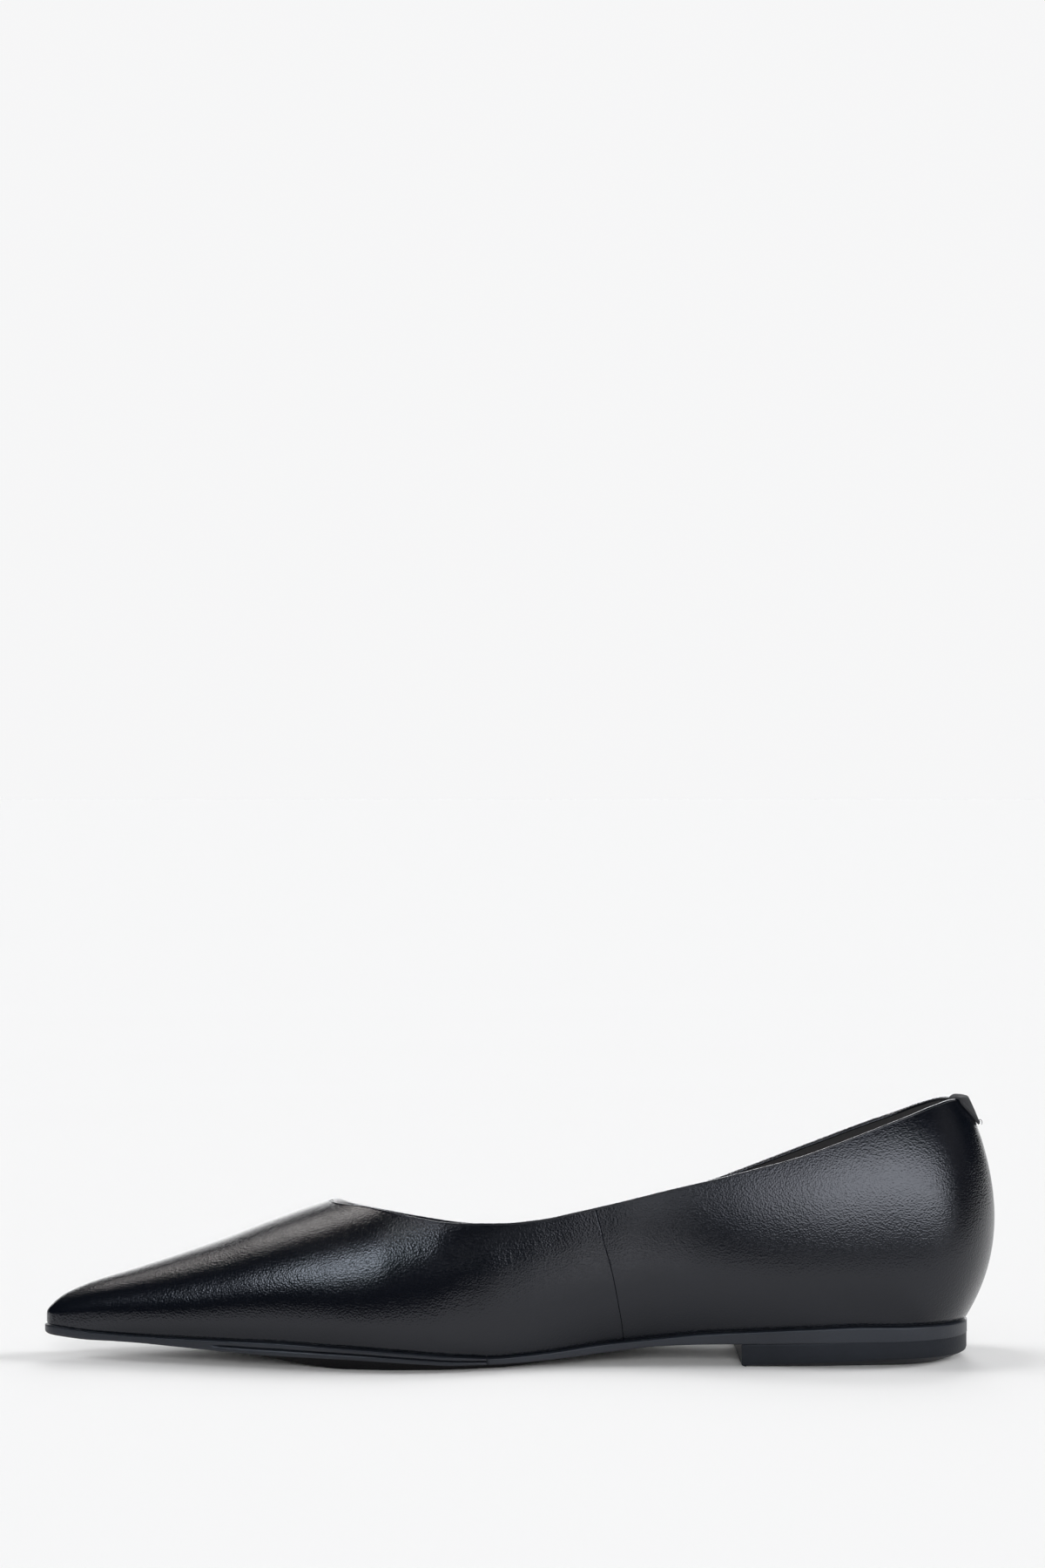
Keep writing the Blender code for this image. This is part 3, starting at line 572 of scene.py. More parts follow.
def rise_power(place):
    """Roundness of the section above the bulge."""
    kind, value = place
    if kind == "heel":
        return CROWN_POWER + (BACK_POWER - CROWN_POWER) * math.sin(value) ** 2
    return CROWN_POWER


def section_point(place, side, level):
    """A point of the last: level 0 is the feather line, 1 the bulge, 2 the crown."""
    foot = foot_point(place, side, "feather")
    bulge = foot_point(place, side, "bulge")
    spine = spine_point(place)
    low, middle = feather_z(foot[0]), bulge_z(place, side)
    if level <= 1:
        lean = (1 - level) ** LOWER_POWER
        plan = bulge + (foot - bulge) * lean
        return np.array((plan[0], plan[1], low + (middle - low) * level))
    angle = (level - 1) * math.pi / 2
    plan = spine + (bulge - spine) * math.cos(angle) ** (2 / CROWN_POWER)
    rise = (crown_z(plan[0]) - middle) * math.sin(angle) ** (2 / rise_power(place))
    return np.array((plan[0], plan[1], middle + rise))


def middle_y():
    """Half way between the widest points of the two sides, where the origin lies."""
    reach = {}
    for side in SIDES:
        reach[side] = max(abs(foot_point(place, side, "bulge")[1]) for place in WIDEST_AMONG)
    return (reach["outer"] - reach["inner"]) / 2


WIDEST_AMONG = [("length", TOE_X + LENGTH * (WIDEST_FROM + WIDEST_SPAN * i / WIDEST_TRIES))
                for i in range(WIDEST_TRIES + 1)]
MIDDLE_Y = middle_y()


def seam_x(height_share):
    """Where the side seam runs, from the feather line (0) to the topline (1)."""
    shares = [row[0] for row in SEAM]
    return float(np.interp(height_share, shares, [row[1] for row in SEAM]))


def quarter_xs():
    """Columns behind the throat: crowded at the throat and again beside the side seam."""
    throat = TOE_X + THROAT_AT
    near_seam = [SEAM_X - gap for gap in SEAM_COLUMNS] + [SEAM_X + gap for gap in SEAM_COLUMNS]
    xs = [SEAM_X] + near_seam
    for i in range(QUARTER_COLUMNS):
        t = i / QUARTER_COLUMNS
        x = throat + (HEEL_CENTRE_X - throat) * ((1 - THROAT_CROWD) * t + THROAT_CROWD * t * t)
        if abs(x - SEAM_X) > SEAM_COLUMNS[-1] * SEAM_CLEAR:
            xs.append(x)
    return sorted(xs)


def nose_places():
    return [("nose", math.pi / 2 + (NOSE_SLOPE - math.pi / 2) * i / NOSE_COLUMNS)
            for i in range(NOSE_COLUMNS)]


def heel_places():
    return [("heel", math.pi / 2 * i / HEEL_COLUMNS) for i in range(HEEL_COLUMNS + 1)]


def scene_places():
    """Places of the upper's columns from the toe tip to the back seam."""
    throat = TOE_X + THROAT_AT
    places = nose_places()
    for i in range(VAMP_COLUMNS):
        places.append(("length", SIDE_START_X + (throat - SIDE_START_X) * i / VAMP_COLUMNS))
    places += [("length", x) for x in quarter_xs()]
    return places + heel_places()


PLACES = scene_places()
THROAT_PLACE = NOSE_COLUMNS + VAMP_COLUMNS


def top_of(place, side):
    """Level of the topline; in front of the throat the wall runs on to the ridge."""
    kind, value = place
    if kind == "nose" or (kind == "length" and value <= TOE_X + THROAT_AT + HAIR):
        return 2.0
    x = value if kind == "length" else HEEL_CENTRE_X
    middle, top = bulge_z(place, side), crown_z(x)
    share = (collar_z(place, side) - middle) / (top - middle)
    return 1 + math.asin(min(1.0, share ** (rise_power(place) / 2))) / (math.pi / 2)


def row_level(place, side, row):
    """Level of one row of the wall, counted from the round at its foot."""
    foot = foot_point(place, side, "feather")
    low = feather_z(foot[0])
    start = min(FOOT_MOST, FOOT_ROUND / (bulge_z(place, side) - low))
    if row < LOWER_ROWS:
        return start + (1 - start) * row / LOWER_ROWS
    return 1 + (top_of(place, side) - 1) * (row - LOWER_ROWS) / UPPER_ROWS


def seam_rows(side):
    """Height share of each row at the side seam."""
    place = ("length", SEAM_X)
    low = feather_z(SEAM_X)
    top = section_point(place, side, top_of(place, side))[2]
    shares = []
    for row in range(LOWER_ROWS + UPPER_ROWS + 1):
        z = section_point(place, side, row_level(place, side, row))[2]
        shares.append((z - low) / (top - low))
    return shares


def leaned(place, height_share):
    """The same column leaning along the side seam, less and less away from it."""
    kind, value = place
    if kind != "length":
        return place
    share = 1 - smooth_step(abs(value - SEAM_X) / SEAM_REACH)
    return (kind, value + share * (seam_x(height_share) - SEAM_X))


def foot_rows(place, side):
    """Turned-in margin and the round at the foot of the wall."""
    foot = foot_point(place, side, "feather")
    inward = spine_point(place) - foot
    turned = min(MARGIN, MARGIN_SHARE * np.linalg.norm(inward))
    inward = unit(inward)
    points = []
    for share in MARGIN_ROWS:
        plan = foot + inward * (FOOT_ROUND + (turned - FOOT_ROUND) * share)
        points.append((plan[0], plan[1], feather_z(plan[0])))
    for a in map(math.radians, FOOT_ROWS):
        plan = foot + inward * FOOT_ROUND * (1 - math.sin(a))
        points.append((plan[0], plan[1], feather_z(plan[0]) + FOOT_ROUND * (1 - math.cos(a))))
    return points


def face_outwards(work):
    """Turn the faces of an open sheet outwards, judged at its rearmost point."""
    bmesh.ops.recalc_face_normals(work, faces=work.faces)
    work.normal_update()
    if max(work.verts, key=lambda v: v.co.x).normal.x < 0:
        bmesh.ops.reverse_faces(work, faces=list(work.faces))
    work.normal_update()


def outer_sheet():
    """The outer face of the upper as one open sheet, with its rim in order round the opening."""
    work = bmesh.new()
    seats = {}
    rims = {}
    marks = {}
    last = len(PLACES) - 1
    for side in SIDES:
        shares = seam_rows(side)
        columns = []
        for index, place in enumerate(PLACES):
            points = foot_rows(leaned(place, 0.0), side)
            for row in range(LOWER_ROWS + UPPER_ROWS + 1):
                there = leaned(place, shares[row])
                points.append(section_point(there, side, row_level(there, side, row)))
            column = []
            for row, point in enumerate(points):
                on_ridge = row == len(points) - 1 and index <= THROAT_PLACE
                pole = on_ridge and index < NOSE_COLUMNS
                shared = index in (0, last) or on_ridge
                key = (0 if pole else index, "both" if shared else side, row)
                if key not in seats:
                    seats[key] = work.verts.new(point)
                    marks[seats[key]] = (side, place, row)
                column.append(seats[key])
            columns.append(column)
        rims[side] = [column[-1] for column in columns[THROAT_PLACE:]]
        for left, right in zip(columns, columns[1:]):
            for row in range(len(left) - 1):
                corners = [left[row], right[row], right[row + 1], left[row + 1]]
                if side == "outer":
                    corners.reverse()
                ring = [v for i, v in enumerate(corners) if v is not corners[i - 1]]
                work.faces.new(ring)
    face_outwards(work)
    rim = rims["inner"] + rims["outer"][-2:0:-1]
    return work, rim, marks


def seam_depth(offset):
    """Relief of the closed seam, a thin groove."""
    return -SEAM_DEPTH * math.exp(-(offset / SEAM_GROOVE) ** 2)


def crease_depth(x, z, side):
    """Relief of the creases listed for each side."""
    depth = 0.0
    for on, start, end, width, height in CREASES:
        if on != side:
            continue
        a, b = np.array(start), np.array(end)
        along = b - a
        t = min(1.0, max(0.0, np.dot(np.array((x, z)) - a, along) / np.dot(along, along)))
        away = np.linalg.norm(np.array((x, z)) - a - along * t)
        fade = math.sin(math.pi * (CREASE_ENDS + (1 - 2 * CREASE_ENDS) * t))
        depth += height * fade * math.exp(-(away / width) ** 2)
    return depth


def relieve(work, marks):
    """Press the seam and the creases into the outer face."""
    work.normal_update()
    moves = []
    for v, (side, place, row) in marks.items():
        if not v.is_valid:
            continue
        depth = crease_depth(v.co.x, v.co.z, side)
        if place[0] == "length" and row >= SEAM_FROM_ROW:
            depth += seam_depth(place[1] - SEAM_X)
        if depth:
            moves.append((v, v.normal * depth))
    for v, move in moves:
        v.co += move


def thickened(work, wall):
    """Turn an open sheet into a wall: a second face set in by wall, and round rims between."""
    work.normal_update()
    outer_faces = list(work.faces)
    rims = [edge for edge in work.edges if edge.is_boundary]
    inner = {v: work.verts.new(v.co - v.normal * wall) for v in list(work.verts)}
    for face in outer_faces:
        work.faces.new([inner[v] for v in reversed(face.verts)])
    crests = {}

    def crest(v, face_centre):
        if v not in crests:
            middle = (v.co + inner[v].co) / 2
            away = v.co - face_centre
            away = away - v.normal * away.dot(v.normal)
            crests[v] = work.verts.new(middle + away.normalized() * wall * RIM_CREST)
        return crests[v]

    for edge in rims:
        loop = edge.link_loops[0]
        a, b = loop.vert, loop.link_loop_next.vert
        centre = loop.face.calc_center_median()
        over_a, over_b = crest(a, centre), crest(b, centre)
        work.faces.new((b, a, over_a, over_b))
        work.faces.new((over_b, over_a, inner[a], inner[b]))


def placed(name, data, at=(0, 0, 0), turn=(0, 0, 0)):
    """Object of the scene at a place, turned by three angles."""
    made = bpy.data.objects.new(name, data)
    bpy.context.scene.collection.objects.link(made)
    made.location = at
    made.rotation_euler = turn
    return made


def finished(name, work, shader, slot, *nodes, sharp=40):
    """Object from the bmesh, placed, riding on the part and standing for its CAD nodes."""
    mesh = bpy.data.meshes.new(name)
    work.to_mesh(mesh)
    work.free()
    mesh.shade_smooth()
    mesh.set_sharp_from_angle(angle=math.radians(sharp))
    mesh.materials.append(shader)
    piece = placed(name, mesh, (0, -MIDDLE_Y, 0))
    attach(piece, "root")
    if nodes:
        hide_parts(*nodes)
    return piece


def make_upper(leather, lining):
    """Outer leather with its seam and creases, and the lining; returns the topline."""
    work, rim, marks = outer_sheet()
    ring = [(np.array(v.co), np.array(v.normal)) for v in rim]
    relieve(work, marks)
    thickened(work, SKIN)
    finished("upper_leather", work, leather, "upper_leather", "upper")
    work, _, marks = outer_sheet()
    hidden = [v for v, mark in marks.items() if mark[2] < LINING_FROM]
    bmesh.ops.delete(work, geom=hidden, context="VERTS")
    for v, normal in [(v, v.normal.copy()) for v in work.verts]:
        v.co -= normal * (SKIN + SKIN_GAP)
    thickened(work, WALL - SKIN - SKIN_GAP)
    finished("upper_lining", work, lining, "footbed", "upper")
    return ring


def even_loop(points, normals, step):
    """Closed loop resampled evenly along a smooth curve through the points."""
    points, normals = np.array(points), np.array(normals)
    count = len(points)
    gaps = np.linalg.norm(np.roll(points, -1, axis=0) - points, axis=1)
    length = gaps.sum()
    ends = np.concatenate(([0.0], np.cumsum(gaps)))
    number = int(length / step)
    spots, turned = [], []
    for k in range(number):
        at = length * k / number
        i = min(int(np.searchsorted(ends, at, side="right")) - 1, count - 1)
        t = (at - ends[i]) / gaps[i]
        p0, p1 = points[i - 1], points[i]
        p2, p3 = points[(i + 1) % count], points[(i + 2) % count]
        before = gaps[i - 1]
        after = gaps[(i + 1) % count]
        m1 = (p2 - p1) * 0.5 + (p1 - p0) * 0.5 * gaps[i] / before
        m2 = (p2 - p1) * 0.5 + (p3 - p2) * 0.5 * gaps[i] / after
        spots.append((2 * t ** 3 - 3 * t ** 2 + 1) * p1 + (t ** 3 - 2 * t ** 2 + t) * m1
                     + (3 * t ** 2 - 2 * t ** 3) * p2 + (t ** 3 - t ** 2) * m2)
        normal = normals[i] * (1 - t) + normals[(i + 1) % count] * t
        turned.append(unit(normal))
    return spots, turned


def topline_profile():
    """Section of the folded edge: (out of the wall, towards the opening)."""
    half = WALL / 2 + BEAD_PROUD
    points = []
    for a in map(math.radians, BEAD_ANGLES):
        points.append((half * math.cos(a), half * BEAD_ROUND * (math.sin(a) - 1)))
    points += [(half * across, -BEAD_WIDTH * down) for across, down in BEAD_FOOT]
    return points


def make_topline(ring, leather):
    """Folded edge swept along the topline."""
    spots, normals = even_loop([p for p, n in ring], [n for p, n in ring], BEAD_STEP)
    count = len(spots)
    frames = []
    for i in range(count):
        along = unit(spots[(i + 1) % count] - spots[i - 1])
        out = unit(normals[i] - along * np.dot(normals[i], along))
        frames.append((out, np.cross(along, out)))
    facing = 1 if sum(up[2] for out, up in frames) > 0 else -1
    profile = topline_profile()
    work = bmesh.new()
    rings = []
    for spot, (out, up) in zip(spots, frames):
        middle = spot - out * WALL / 2 + up * facing * BEAD_RISE
        rings.append([work.verts.new(middle + out * a + up * facing * b) for a, b in profile])
    strip(work, rings + rings[:1])
    bmesh.ops.recalc_face_normals(work, faces=work.faces)
    finished("topline", work, leather, "upper_leather", "upper", sharp=60)


def sole_places():
    """Places of the sole's outline, with extra ones at the joint tick of its edge."""
    joint = TOE_X + STEP_END
    xs = [joint + gap for gap in TICK_COLUMNS]
    for i in range(SOLE_COLUMNS):
        x = SIDE_START_X + (HEEL_CENTRE_X - SIDE_START_X) * i / SOLE_COLUMNS
        if abs(x - joint) > TICK_CLEAR:
            xs.append(x)
    return nose_places() + [("length", x) for x in sorted(xs)] + heel_places()


SOLE_PLACES = sole_places()


def outline_loop(proud):
    """The feather line as one loop round the foot, moved outwards by proud."""
    order = [(place, "inner") for place in SOLE_PLACES]
    order += [(place, "outer") for place in SOLE_PLACES[-2:0:-1]]
    loop = []
    for place, side in order:
        moved = proud
        if callable(proud):
            moved = proud(foot_point(place, side, "feather")[0])
        loop.append(foot_point(place, side, "feather", moved))
    return loop


def inset_loop(loop, inset):
    """Move a plan loop inwards along its own normals."""
    moved = []
    count = len(loop)
    for i, point in enumerate(loop):
        along = unit(loop[(i + 1) % count] - loop[i - 1])
        depth = inset(point[0]) if callable(inset) else inset
        moved.append(point + depth * np.array((-along[1], along[0])))
    return moved


def strip(work, rings):
    """Faces between closed rings of equal count."""
    count = len(rings[0])
    for upper, lower in zip(rings, rings[1:]):
        for i in range(count):
            j = (i + 1) % count
            work.faces.new((upper[i], lower[i], lower[j], upper[j]))


def cap(work, ring, shift=0):
    """Close a ring with faces across it, pairing the points of its two halves."""
    count = len(ring)
    for i in range(count // 2):
        a, b = ring[i], ring[i + 1]
        c = ring[(count - i - 1 - shift) % count]
        d = ring[(count - i - shift) % count]
        corners = [a, b, c, d]
        face = [v for k, v in enumerate(corners) if v is not corners[k - 1]]
        if len(set(face)) > 2:
            work.faces.new(face)


def closed(work, loops, shift=0):
    """Solid of a stack of rings: its sides and both its ends."""
    strip(work, loops)
    cap(work, loops[0], shift)
    cap(work, loops[-1], shift)
    bmesh.ops.recalc_face_normals(work, faces=work.faces)


def tuck_share(x):
    """The tread tucks in fully at the ball, less in the narrow nose, not at all at the seat."""
    toe = min(1.0, (x - TOE_X) / (TUCK_RISE * NOSE_RADIUS))
    back = clamp((HEEL_X - HEEL_BREAST - x) / (TUCK_FALL * NOSE_RADIUS))
    return TUCK_LEAST + (1 - TUCK_LEAST) * min(toe, back)


def groove_share(x):
    """One in the stepped forefoot edge, fading out forwards, ending sharply at the joint."""
    start = (x - TOE_X - STEP_START) / GROOVE_RISE
    end = (TOE_X + STEP_END - x) / GROOVE_END
    return smooth_step(start) * smooth_step(end)


def joint_share(x):
    """One where the joint of sole and heel shows, fading out towards the back."""
    return 1 - smooth_step((x - JOINT_FADE_FROM) / (JOINT_FADE_TO - JOINT_FADE_FROM))


def tick_share(x):
    """One at the notch in the sole's edge."""
    return math.exp(-((x - TOE_X - STEP_END) / TICK_WIDTH) ** 2)


def make_outsole(shader, tread_painted_shade_shader):
    """Sole edge from top to bottom, then the underside, stepping in to the tread; the underside
    takes the darker tread surface as painted shade.
    """
    edge = outline_loop(SOLE_PROUD)
    rings = []
    for share, round_in, groove_in in EDGE_PROFILE:
        def inset(x, share=share, round_in=round_in, groove_in=groove_in):
            shown = 1.0 if share > 0.5 else joint_share(x)
            return round_in * shown + groove_in * groove_share(x) + TICK_DEPTH * tick_share(x)

        def height(x, share=share):
            return tread_z(x) + share * (feather_z(x) - FIT - tread_z(x))

        rings.append((inset, height))
    for tuck, down in UNDERSIDE:
        def inset(x, tuck=tuck):
            return SOLE_TUCK * tuck * tuck_share(x)

        def height(x, down=down):
            return tread_z(x) + down * (SEAT_HEIGHT * EDGE["floor"](share_at(x)) - tread_z(x))

        rings.append((inset, height))
    work = bmesh.new()
    loops = [[work.verts.new((*point, height(point[0]))) for point in inset_loop(edge, inset)]
             for inset, height in rings]
    closed(work, loops)
    edge_verts = set(v for loop in loops[:len(EDGE_PROFILE)] for v in loop)
    # Underside faces take the second, darker surface: painted shade under the sole.
    for face in work.faces:
        face.material_index = 0 if all(v in edge_verts for v in face.verts) else 1
    sole = finished("outsole_body", work, shader, "sole", "outsole")
    sole.data.materials.append(tread_painted_shade_shader)  # index 1


def heel_loop():
    """Plan outline of the heel block, from its breast round the back, and its breast's x."""
    proud = SOLE_PROUD - HEEL_STEP
    back = HEEL_CENTRE_BACK - HEEL_EDGE_BACK + proud
    breast_x = HEEL_CENTRE_X + back - HEEL_BREAST
    sides = {}
    for side in SIDES:
        run = []
        for i in range(HEEL_SIDE_COLUMNS):
            x = breast_x + (HEEL_CENTRE_X - breast_x) * i / HEEL_SIDE_COLUMNS
            run.append(foot_point(("length", x), side, "feather", proud))
        run += [foot_point(place, side, "feather", proud) for place in heel_places()]
        sides[side] = run
    return sides["inner"] + sides["outer"][-2::-1], breast_x


def make_heel(shader):
    """Heel block with its rounded back, bevelled at the floor."""
    loop, breast_x = heel_loop()

    def back_share(x):
        grown = min(1.0, (x - breast_x) / (HEEL_CENTRE_X - breast_x))
        return BEVEL_LEAST + (1 - BEVEL_LEAST) * grown

    work = bmesh.new()
    loops = []
    for height_share, inset_share, round_in in HEEL_PROFILE:
        def depth(x, inset_share=inset_share, round_in=round_in, top=height_share > 0.5):
            shown = joint_share(x) if top else 1
            return HEEL_TUCK * back_share(x) * inset_share + round_in * shown

        inset = inset_loop(loop, depth)
        ring = []
        for p in inset:
            top = tread_z(p[0]) - HEEL_JOINT
            bevel = HEEL_BEVEL * back_share(p[0])
            z = bevel + (top - bevel) * height_share
            if height_share < 0:
                z = bevel * (1 + height_share)
            ring.append(work.verts.new((max(p[0], breast_x + round_in), p[1], z)))
        loops.append(ring)
    closed(work, loops, shift=1)
    finished("heel_block", work, shader, "heel", "heel")


def insole_inset(x):
    """The last leans in quickly over the nose, so the footbed keeps further off there."""
    nose = max(0.0, 1 - (x - TOE_X) / (FOOTBED_NOSE_REACH * NOSE_RADIUS))
    return -(WALL + INSOLE_EASE * (1 + FOOTBED_NOSE_EASE * nose))


def make_footbed(shader):
    """Footbed on the turned margin, rounded at its upper edge."""
    loop = outline_loop(insole_inset)
    base = WALL + FIT
    work = bmesh.new()
    loops = []
    for inset, share in FOOTBED_PROFILE:
        ring = inset_loop(loop, inset)
        loops.append([work.verts.new((p[0], p[1], feather_z(p[0]) + base
                                      + share * INSOLE_THICKNESS)) for p in ring])
    closed(work, loops)
    finished("footbed", work, shader, "footbed", "insole")


def down_the_wall(place, side, top, rim, drop):
    """Point of the outer face that lies drop below the topline, measured along the wall."""
    level, point, gone = top, rim, 0.0
    while gone < drop:
        level -= CURVE_STEP
        after = section_point(place, side, level)
        walked = np.linalg.norm(after - point)
        if gone + walked >= drop:
            return point + (after - point) * (drop - gone) / walked
        gone += walked
        point = after
    return point


def tab_column(place, side, depth, inside):
    """Up the outside, over the folded edge and down the inside of the back."""
    top = top_of(place, side)
    rim = section_point(place, side, top)
    up = unit(rim - section_point(place, side, top - UNDER_RIM))
    spine = spine_point(place)
    out = unit(np.array((rim[0] - spine[0], rim[1] - spine[1], 0.0)))
    out = unit(out - up * np.dot(out, up))
    off = TAB_CLEAR + TAB_THICKNESS
    reach = WALL / 2 + off
    points = []
    for share in np.linspace(1.0, 0.0, TAB_ROWS):
        spot = down_the_wall(place, side, top, rim, depth * share)
        points.append(spot + out * off)
    middle = rim - out * WALL / 2
    for a in map(math.radians, TAB_ANGLES):
        points.append(middle + reach * (out * math.cos(a) + up * TAB_FLAT * math.sin(a)))
    for share in np.linspace(0.0, 1.0, TAB_ROWS):
        spot = down_the_wall(place, side, top, rim, inside * share)
        points.append(spot - out * (WALL + off))
    return points


def tab_places():
    """Places of the tab's columns across the back seam, from the inner to the outer side."""
    runs = {}
    for side in SIDES:
        run = []
        for i in range(TAB_COLUMNS + 1):
            wanted = TAB_HALVES[side] * (1 - i / TAB_COLUMNS)
            low, high = 0.0, math.pi / 2
            for _ in range(TAB_HALVINGS):
                angle = (low + high) / 2
                place = ("heel", angle)
                y = abs(section_point(place, side, top_of(place, side))[1])
                low, high = (angle, high) if y > wanted else (low, angle)
            run.append((("heel", angle), side, i / TAB_COLUMNS))
        runs[side] = run
    return runs["inner"] + runs["outer"][-2::-1]


def tab_grid():
    """Columns of the tab, shorter towards its two ends."""
    grid = []
    for place, side, inwards in tab_places():
        across = 1 - inwards
        depth = TAB_DROP * (1 - TAB_POINT * across ** 2)
        inside = TAB_INSIDE * (1 - TAB_POINT / 2 * across ** 2)
        grid.append(tab_column(place, side, depth, inside))
    return grid


def make_tab(cloth, thread):
    """Tab folded over the collar at the back seam, with its stitches."""
    grid = tab_grid()
    work = bmesh.new()
    columns = [[work.verts.new(p) for p in column] for column in grid]
    for left, right in zip(columns, columns[1:]):
        for row in range(len(left) - 1):
            work.faces.new((left[row], right[row], right[row + 1], left[row + 1]))
    face_outwards(work)
    thickened(work, TAB_THICKNESS)
    finished("tab", work, cloth, "tab", "heel_tab", sharp=60)
    make_tab_stitches(grid, thread)


def tube(work, path, radius, sides=8):
    """Round thread along a path, with pointed ends."""
    rings = []
    for i, p in enumerate(path):
        along = unit(path[min(i + 1, len(path) - 1)] - path[max(i - 1, 0)])
        across = unit(np.cross(along, THREAD_SIDE))
        third = np.cross(along, across)
        thin = radius * (THREAD_TIP if i in (0, len(path) - 1) else 1.0)
        ring = []
        for k in range(sides):
            a = 2 * math.pi * k / sides
            ring.append(work.verts.new(p + thin * (across * math.cos(a) + third * math.sin(a))))
        rings.append(ring)
    strip(work, rings)
    work.faces.new(rings[0][::-1])
    work.faces.new(rings[-1])


def make_tab_stitches(grid, thread):
    """Stitches along the lower edge of the tab, and the loose end of their thread."""
    line = [column[1] + (column[0] - column[1]) * STITCH_LINE for column in grid]
    gaps = [0.0]
    for a, b in zip(line, line[1:]):
        gaps.append(gaps[-1] + np.linalg.norm(b - a))
    outs = [unit(np.array((column[0][0] - HEEL_CENTRE_X, column[0][1], 0.0))) for column in grid]

    def spot(at, lift):
        point, out = (np.array([np.interp(at, gaps, [q[k] for q in run]) for k in range(3)])
                      for run in (line, outs))
        return point + out * lift

    work = bmesh.new()
    number = int(gaps[-1] / STITCH_PITCH)
    for i in range(number):
        start, end = (gaps[-1] * (i + share) / number for share in STITCH_SPAN)
        path = [spot(start + (end - start) * t, STITCH_LIFT * math.sin(math.pi * t))
                for t in (0.0, 0.25, 0.5, 0.75, 1.0)]
        tube(work, path, STITCH_RADIUS)
    root = spot(gaps[-1] / 2 - LOOP_BEFORE, 0.0)
    loop = []
    for share in np.linspace(0, 1, LOOP_POINTS):
        a = math.radians(LOOP_START + LOOP_TURN * share)
        loop.append(root + np.array((LOOP_HALVES[0] * math.cos(a) + LOOP_SHIFT[0],
                                     LOOP_SHIFT[1] * share,
                                     LOOP_HALVES[1] * math.sin(a) + LOOP_SHIFT[2])))
    tube(work, loop, STITCH_RADIUS * LOOP_THIN)
    bmesh.ops.recalc_face_normals(work, faces=work.faces)
    finished("tab_stitches", work, thread, "tab", sharp=60)


def plug(tree, made, inputs):
    """Set the inputs of a node; where the value is another node's output, link it."""
    for key, value in inputs.items():
        if isinstance(value, bpy.types.NodeSocket):
            tree.links.new(value, made.inputs[key])
        else:
            made.inputs[key].default_value = value


def node(tree, kind, inputs, **settings):
    """New shader node with its inputs plugged and its settings made."""
    made = tree.nodes.new("ShaderNode" + kind)
    for name, value in settings.items():
        setattr(made, name, value)
    plug(tree, made, inputs)
    return made


def noise(tree, where, scale, detail, rough):
    inputs = {"Vector": where, "Scale": scale, "Detail": detail, "Roughness": rough}
    return node(tree, "TexNoise", inputs).outputs["Fac"]


def surface(name, dark, light, rough, grain, bump, wave=(60.0, 0.0), specular=0.5):
    """Principled surface: two tones and two roughnesses mixed by noise, grain over soft waves.

    bump is the strength and depth of the grain, wave the scale and depth of the waves.
    """
    made = bpy.data.materials.new(name)
    made.use_nodes = True
    tree = made.node_tree
    where = node(tree, "TexCoord", {}).outputs["Object"]
    tone = noise(tree, where, BLOTCH_SCALE, 6.0, 0.6)
    fine = noise(tree, where, grain, 4.0, 0.55)
    swell = noise(tree, where, wave[0], 2.0, 0.5)
    cells = node(tree, "TexVoronoi", {"Vector": where, "Scale": grain * CELL_SHARE})
    ramp = node(tree, "ValToRGB", {"Fac": tone})
    for stop, position, colour in zip(ramp.color_ramp.elements, RAMP_STOPS, (dark, light)):
        stop.position = position
        stop.color = (*colour, 1)
    spread = node(tree, "MapRange", {"Value": tone, "To Min": rough[0], "To Max": rough[1]})
    mixed = node(tree, "Math", {0: fine, 1: cells.outputs["Distance"]}, operation="ADD")
    waved = node(tree, "Bump", {"Strength": 1.0, "Distance": wave[1], "Height": swell})
    pressed = node(tree, "Bump", {
        "Strength": bump[0], "Distance": bump[1], "Height": mixed.outputs["Value"],
        "Normal": waved.outputs["Normal"]})
    plug(tree, tree.nodes["Principled BSDF"], {
        "Base Color": ramp.outputs["Color"], "Roughness": spread.outputs["Result"],
        "Normal": pressed.outputs["Normal"], "Specular Tint": COOL_TINT,
        "Specular IOR Level": specular})
    return made


def flat_card(name, corners, colour, strength):
    """Even, glowing card from its corners, as a floor, a backdrop or a dark flag."""
    mesh = bpy.data.meshes.new(name)
    mesh.from_pydata(corners, [], [tuple(range(len(corners)))])
    card = placed(name, mesh)
    paint = bpy.data.materials.new(name)
    paint.use_nodes = True
    plug(paint.node_tree, paint.node_tree.nodes["Principled BSDF"], {
        "Base Color": colour, "Roughness": 0.9, "Specular IOR Level": 0.0,
        "Emission Color": colour, "Emission Strength": strength})
    mesh.materials.append(paint)
    card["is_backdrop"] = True
    return card


def only_reflected(thing):
    """Seen in the gloss of the shoe, and neither by the camera nor in the light on the floor."""
    thing.visible_camera = False
    thing.visible_diffuse = False
    thing.visible_shadow = False


def make_floor():
    """Pale floor, with a dark flag before it and a bright card behind that only the gloss sees."""
    wide = FLOOR_HALF
    flat_card("floor", [(-wide, -wide, 0), (wide, -wide, 0), (wide, wide, 0), (-wide, wide, 0)],
              FLOOR_COLOUR, 0.0)
    flag = [(x, y, FLAG_HEIGHT) for x, y in FLAG]
    only_reflected(flat_card("front_flag", flag, FLAG_COLOUR, 0.0))
    only_reflected(flat_card("bright_card", BRIGHT_CARD, (1, 1, 1, 1), BRIGHT_CARD_STRENGTH))


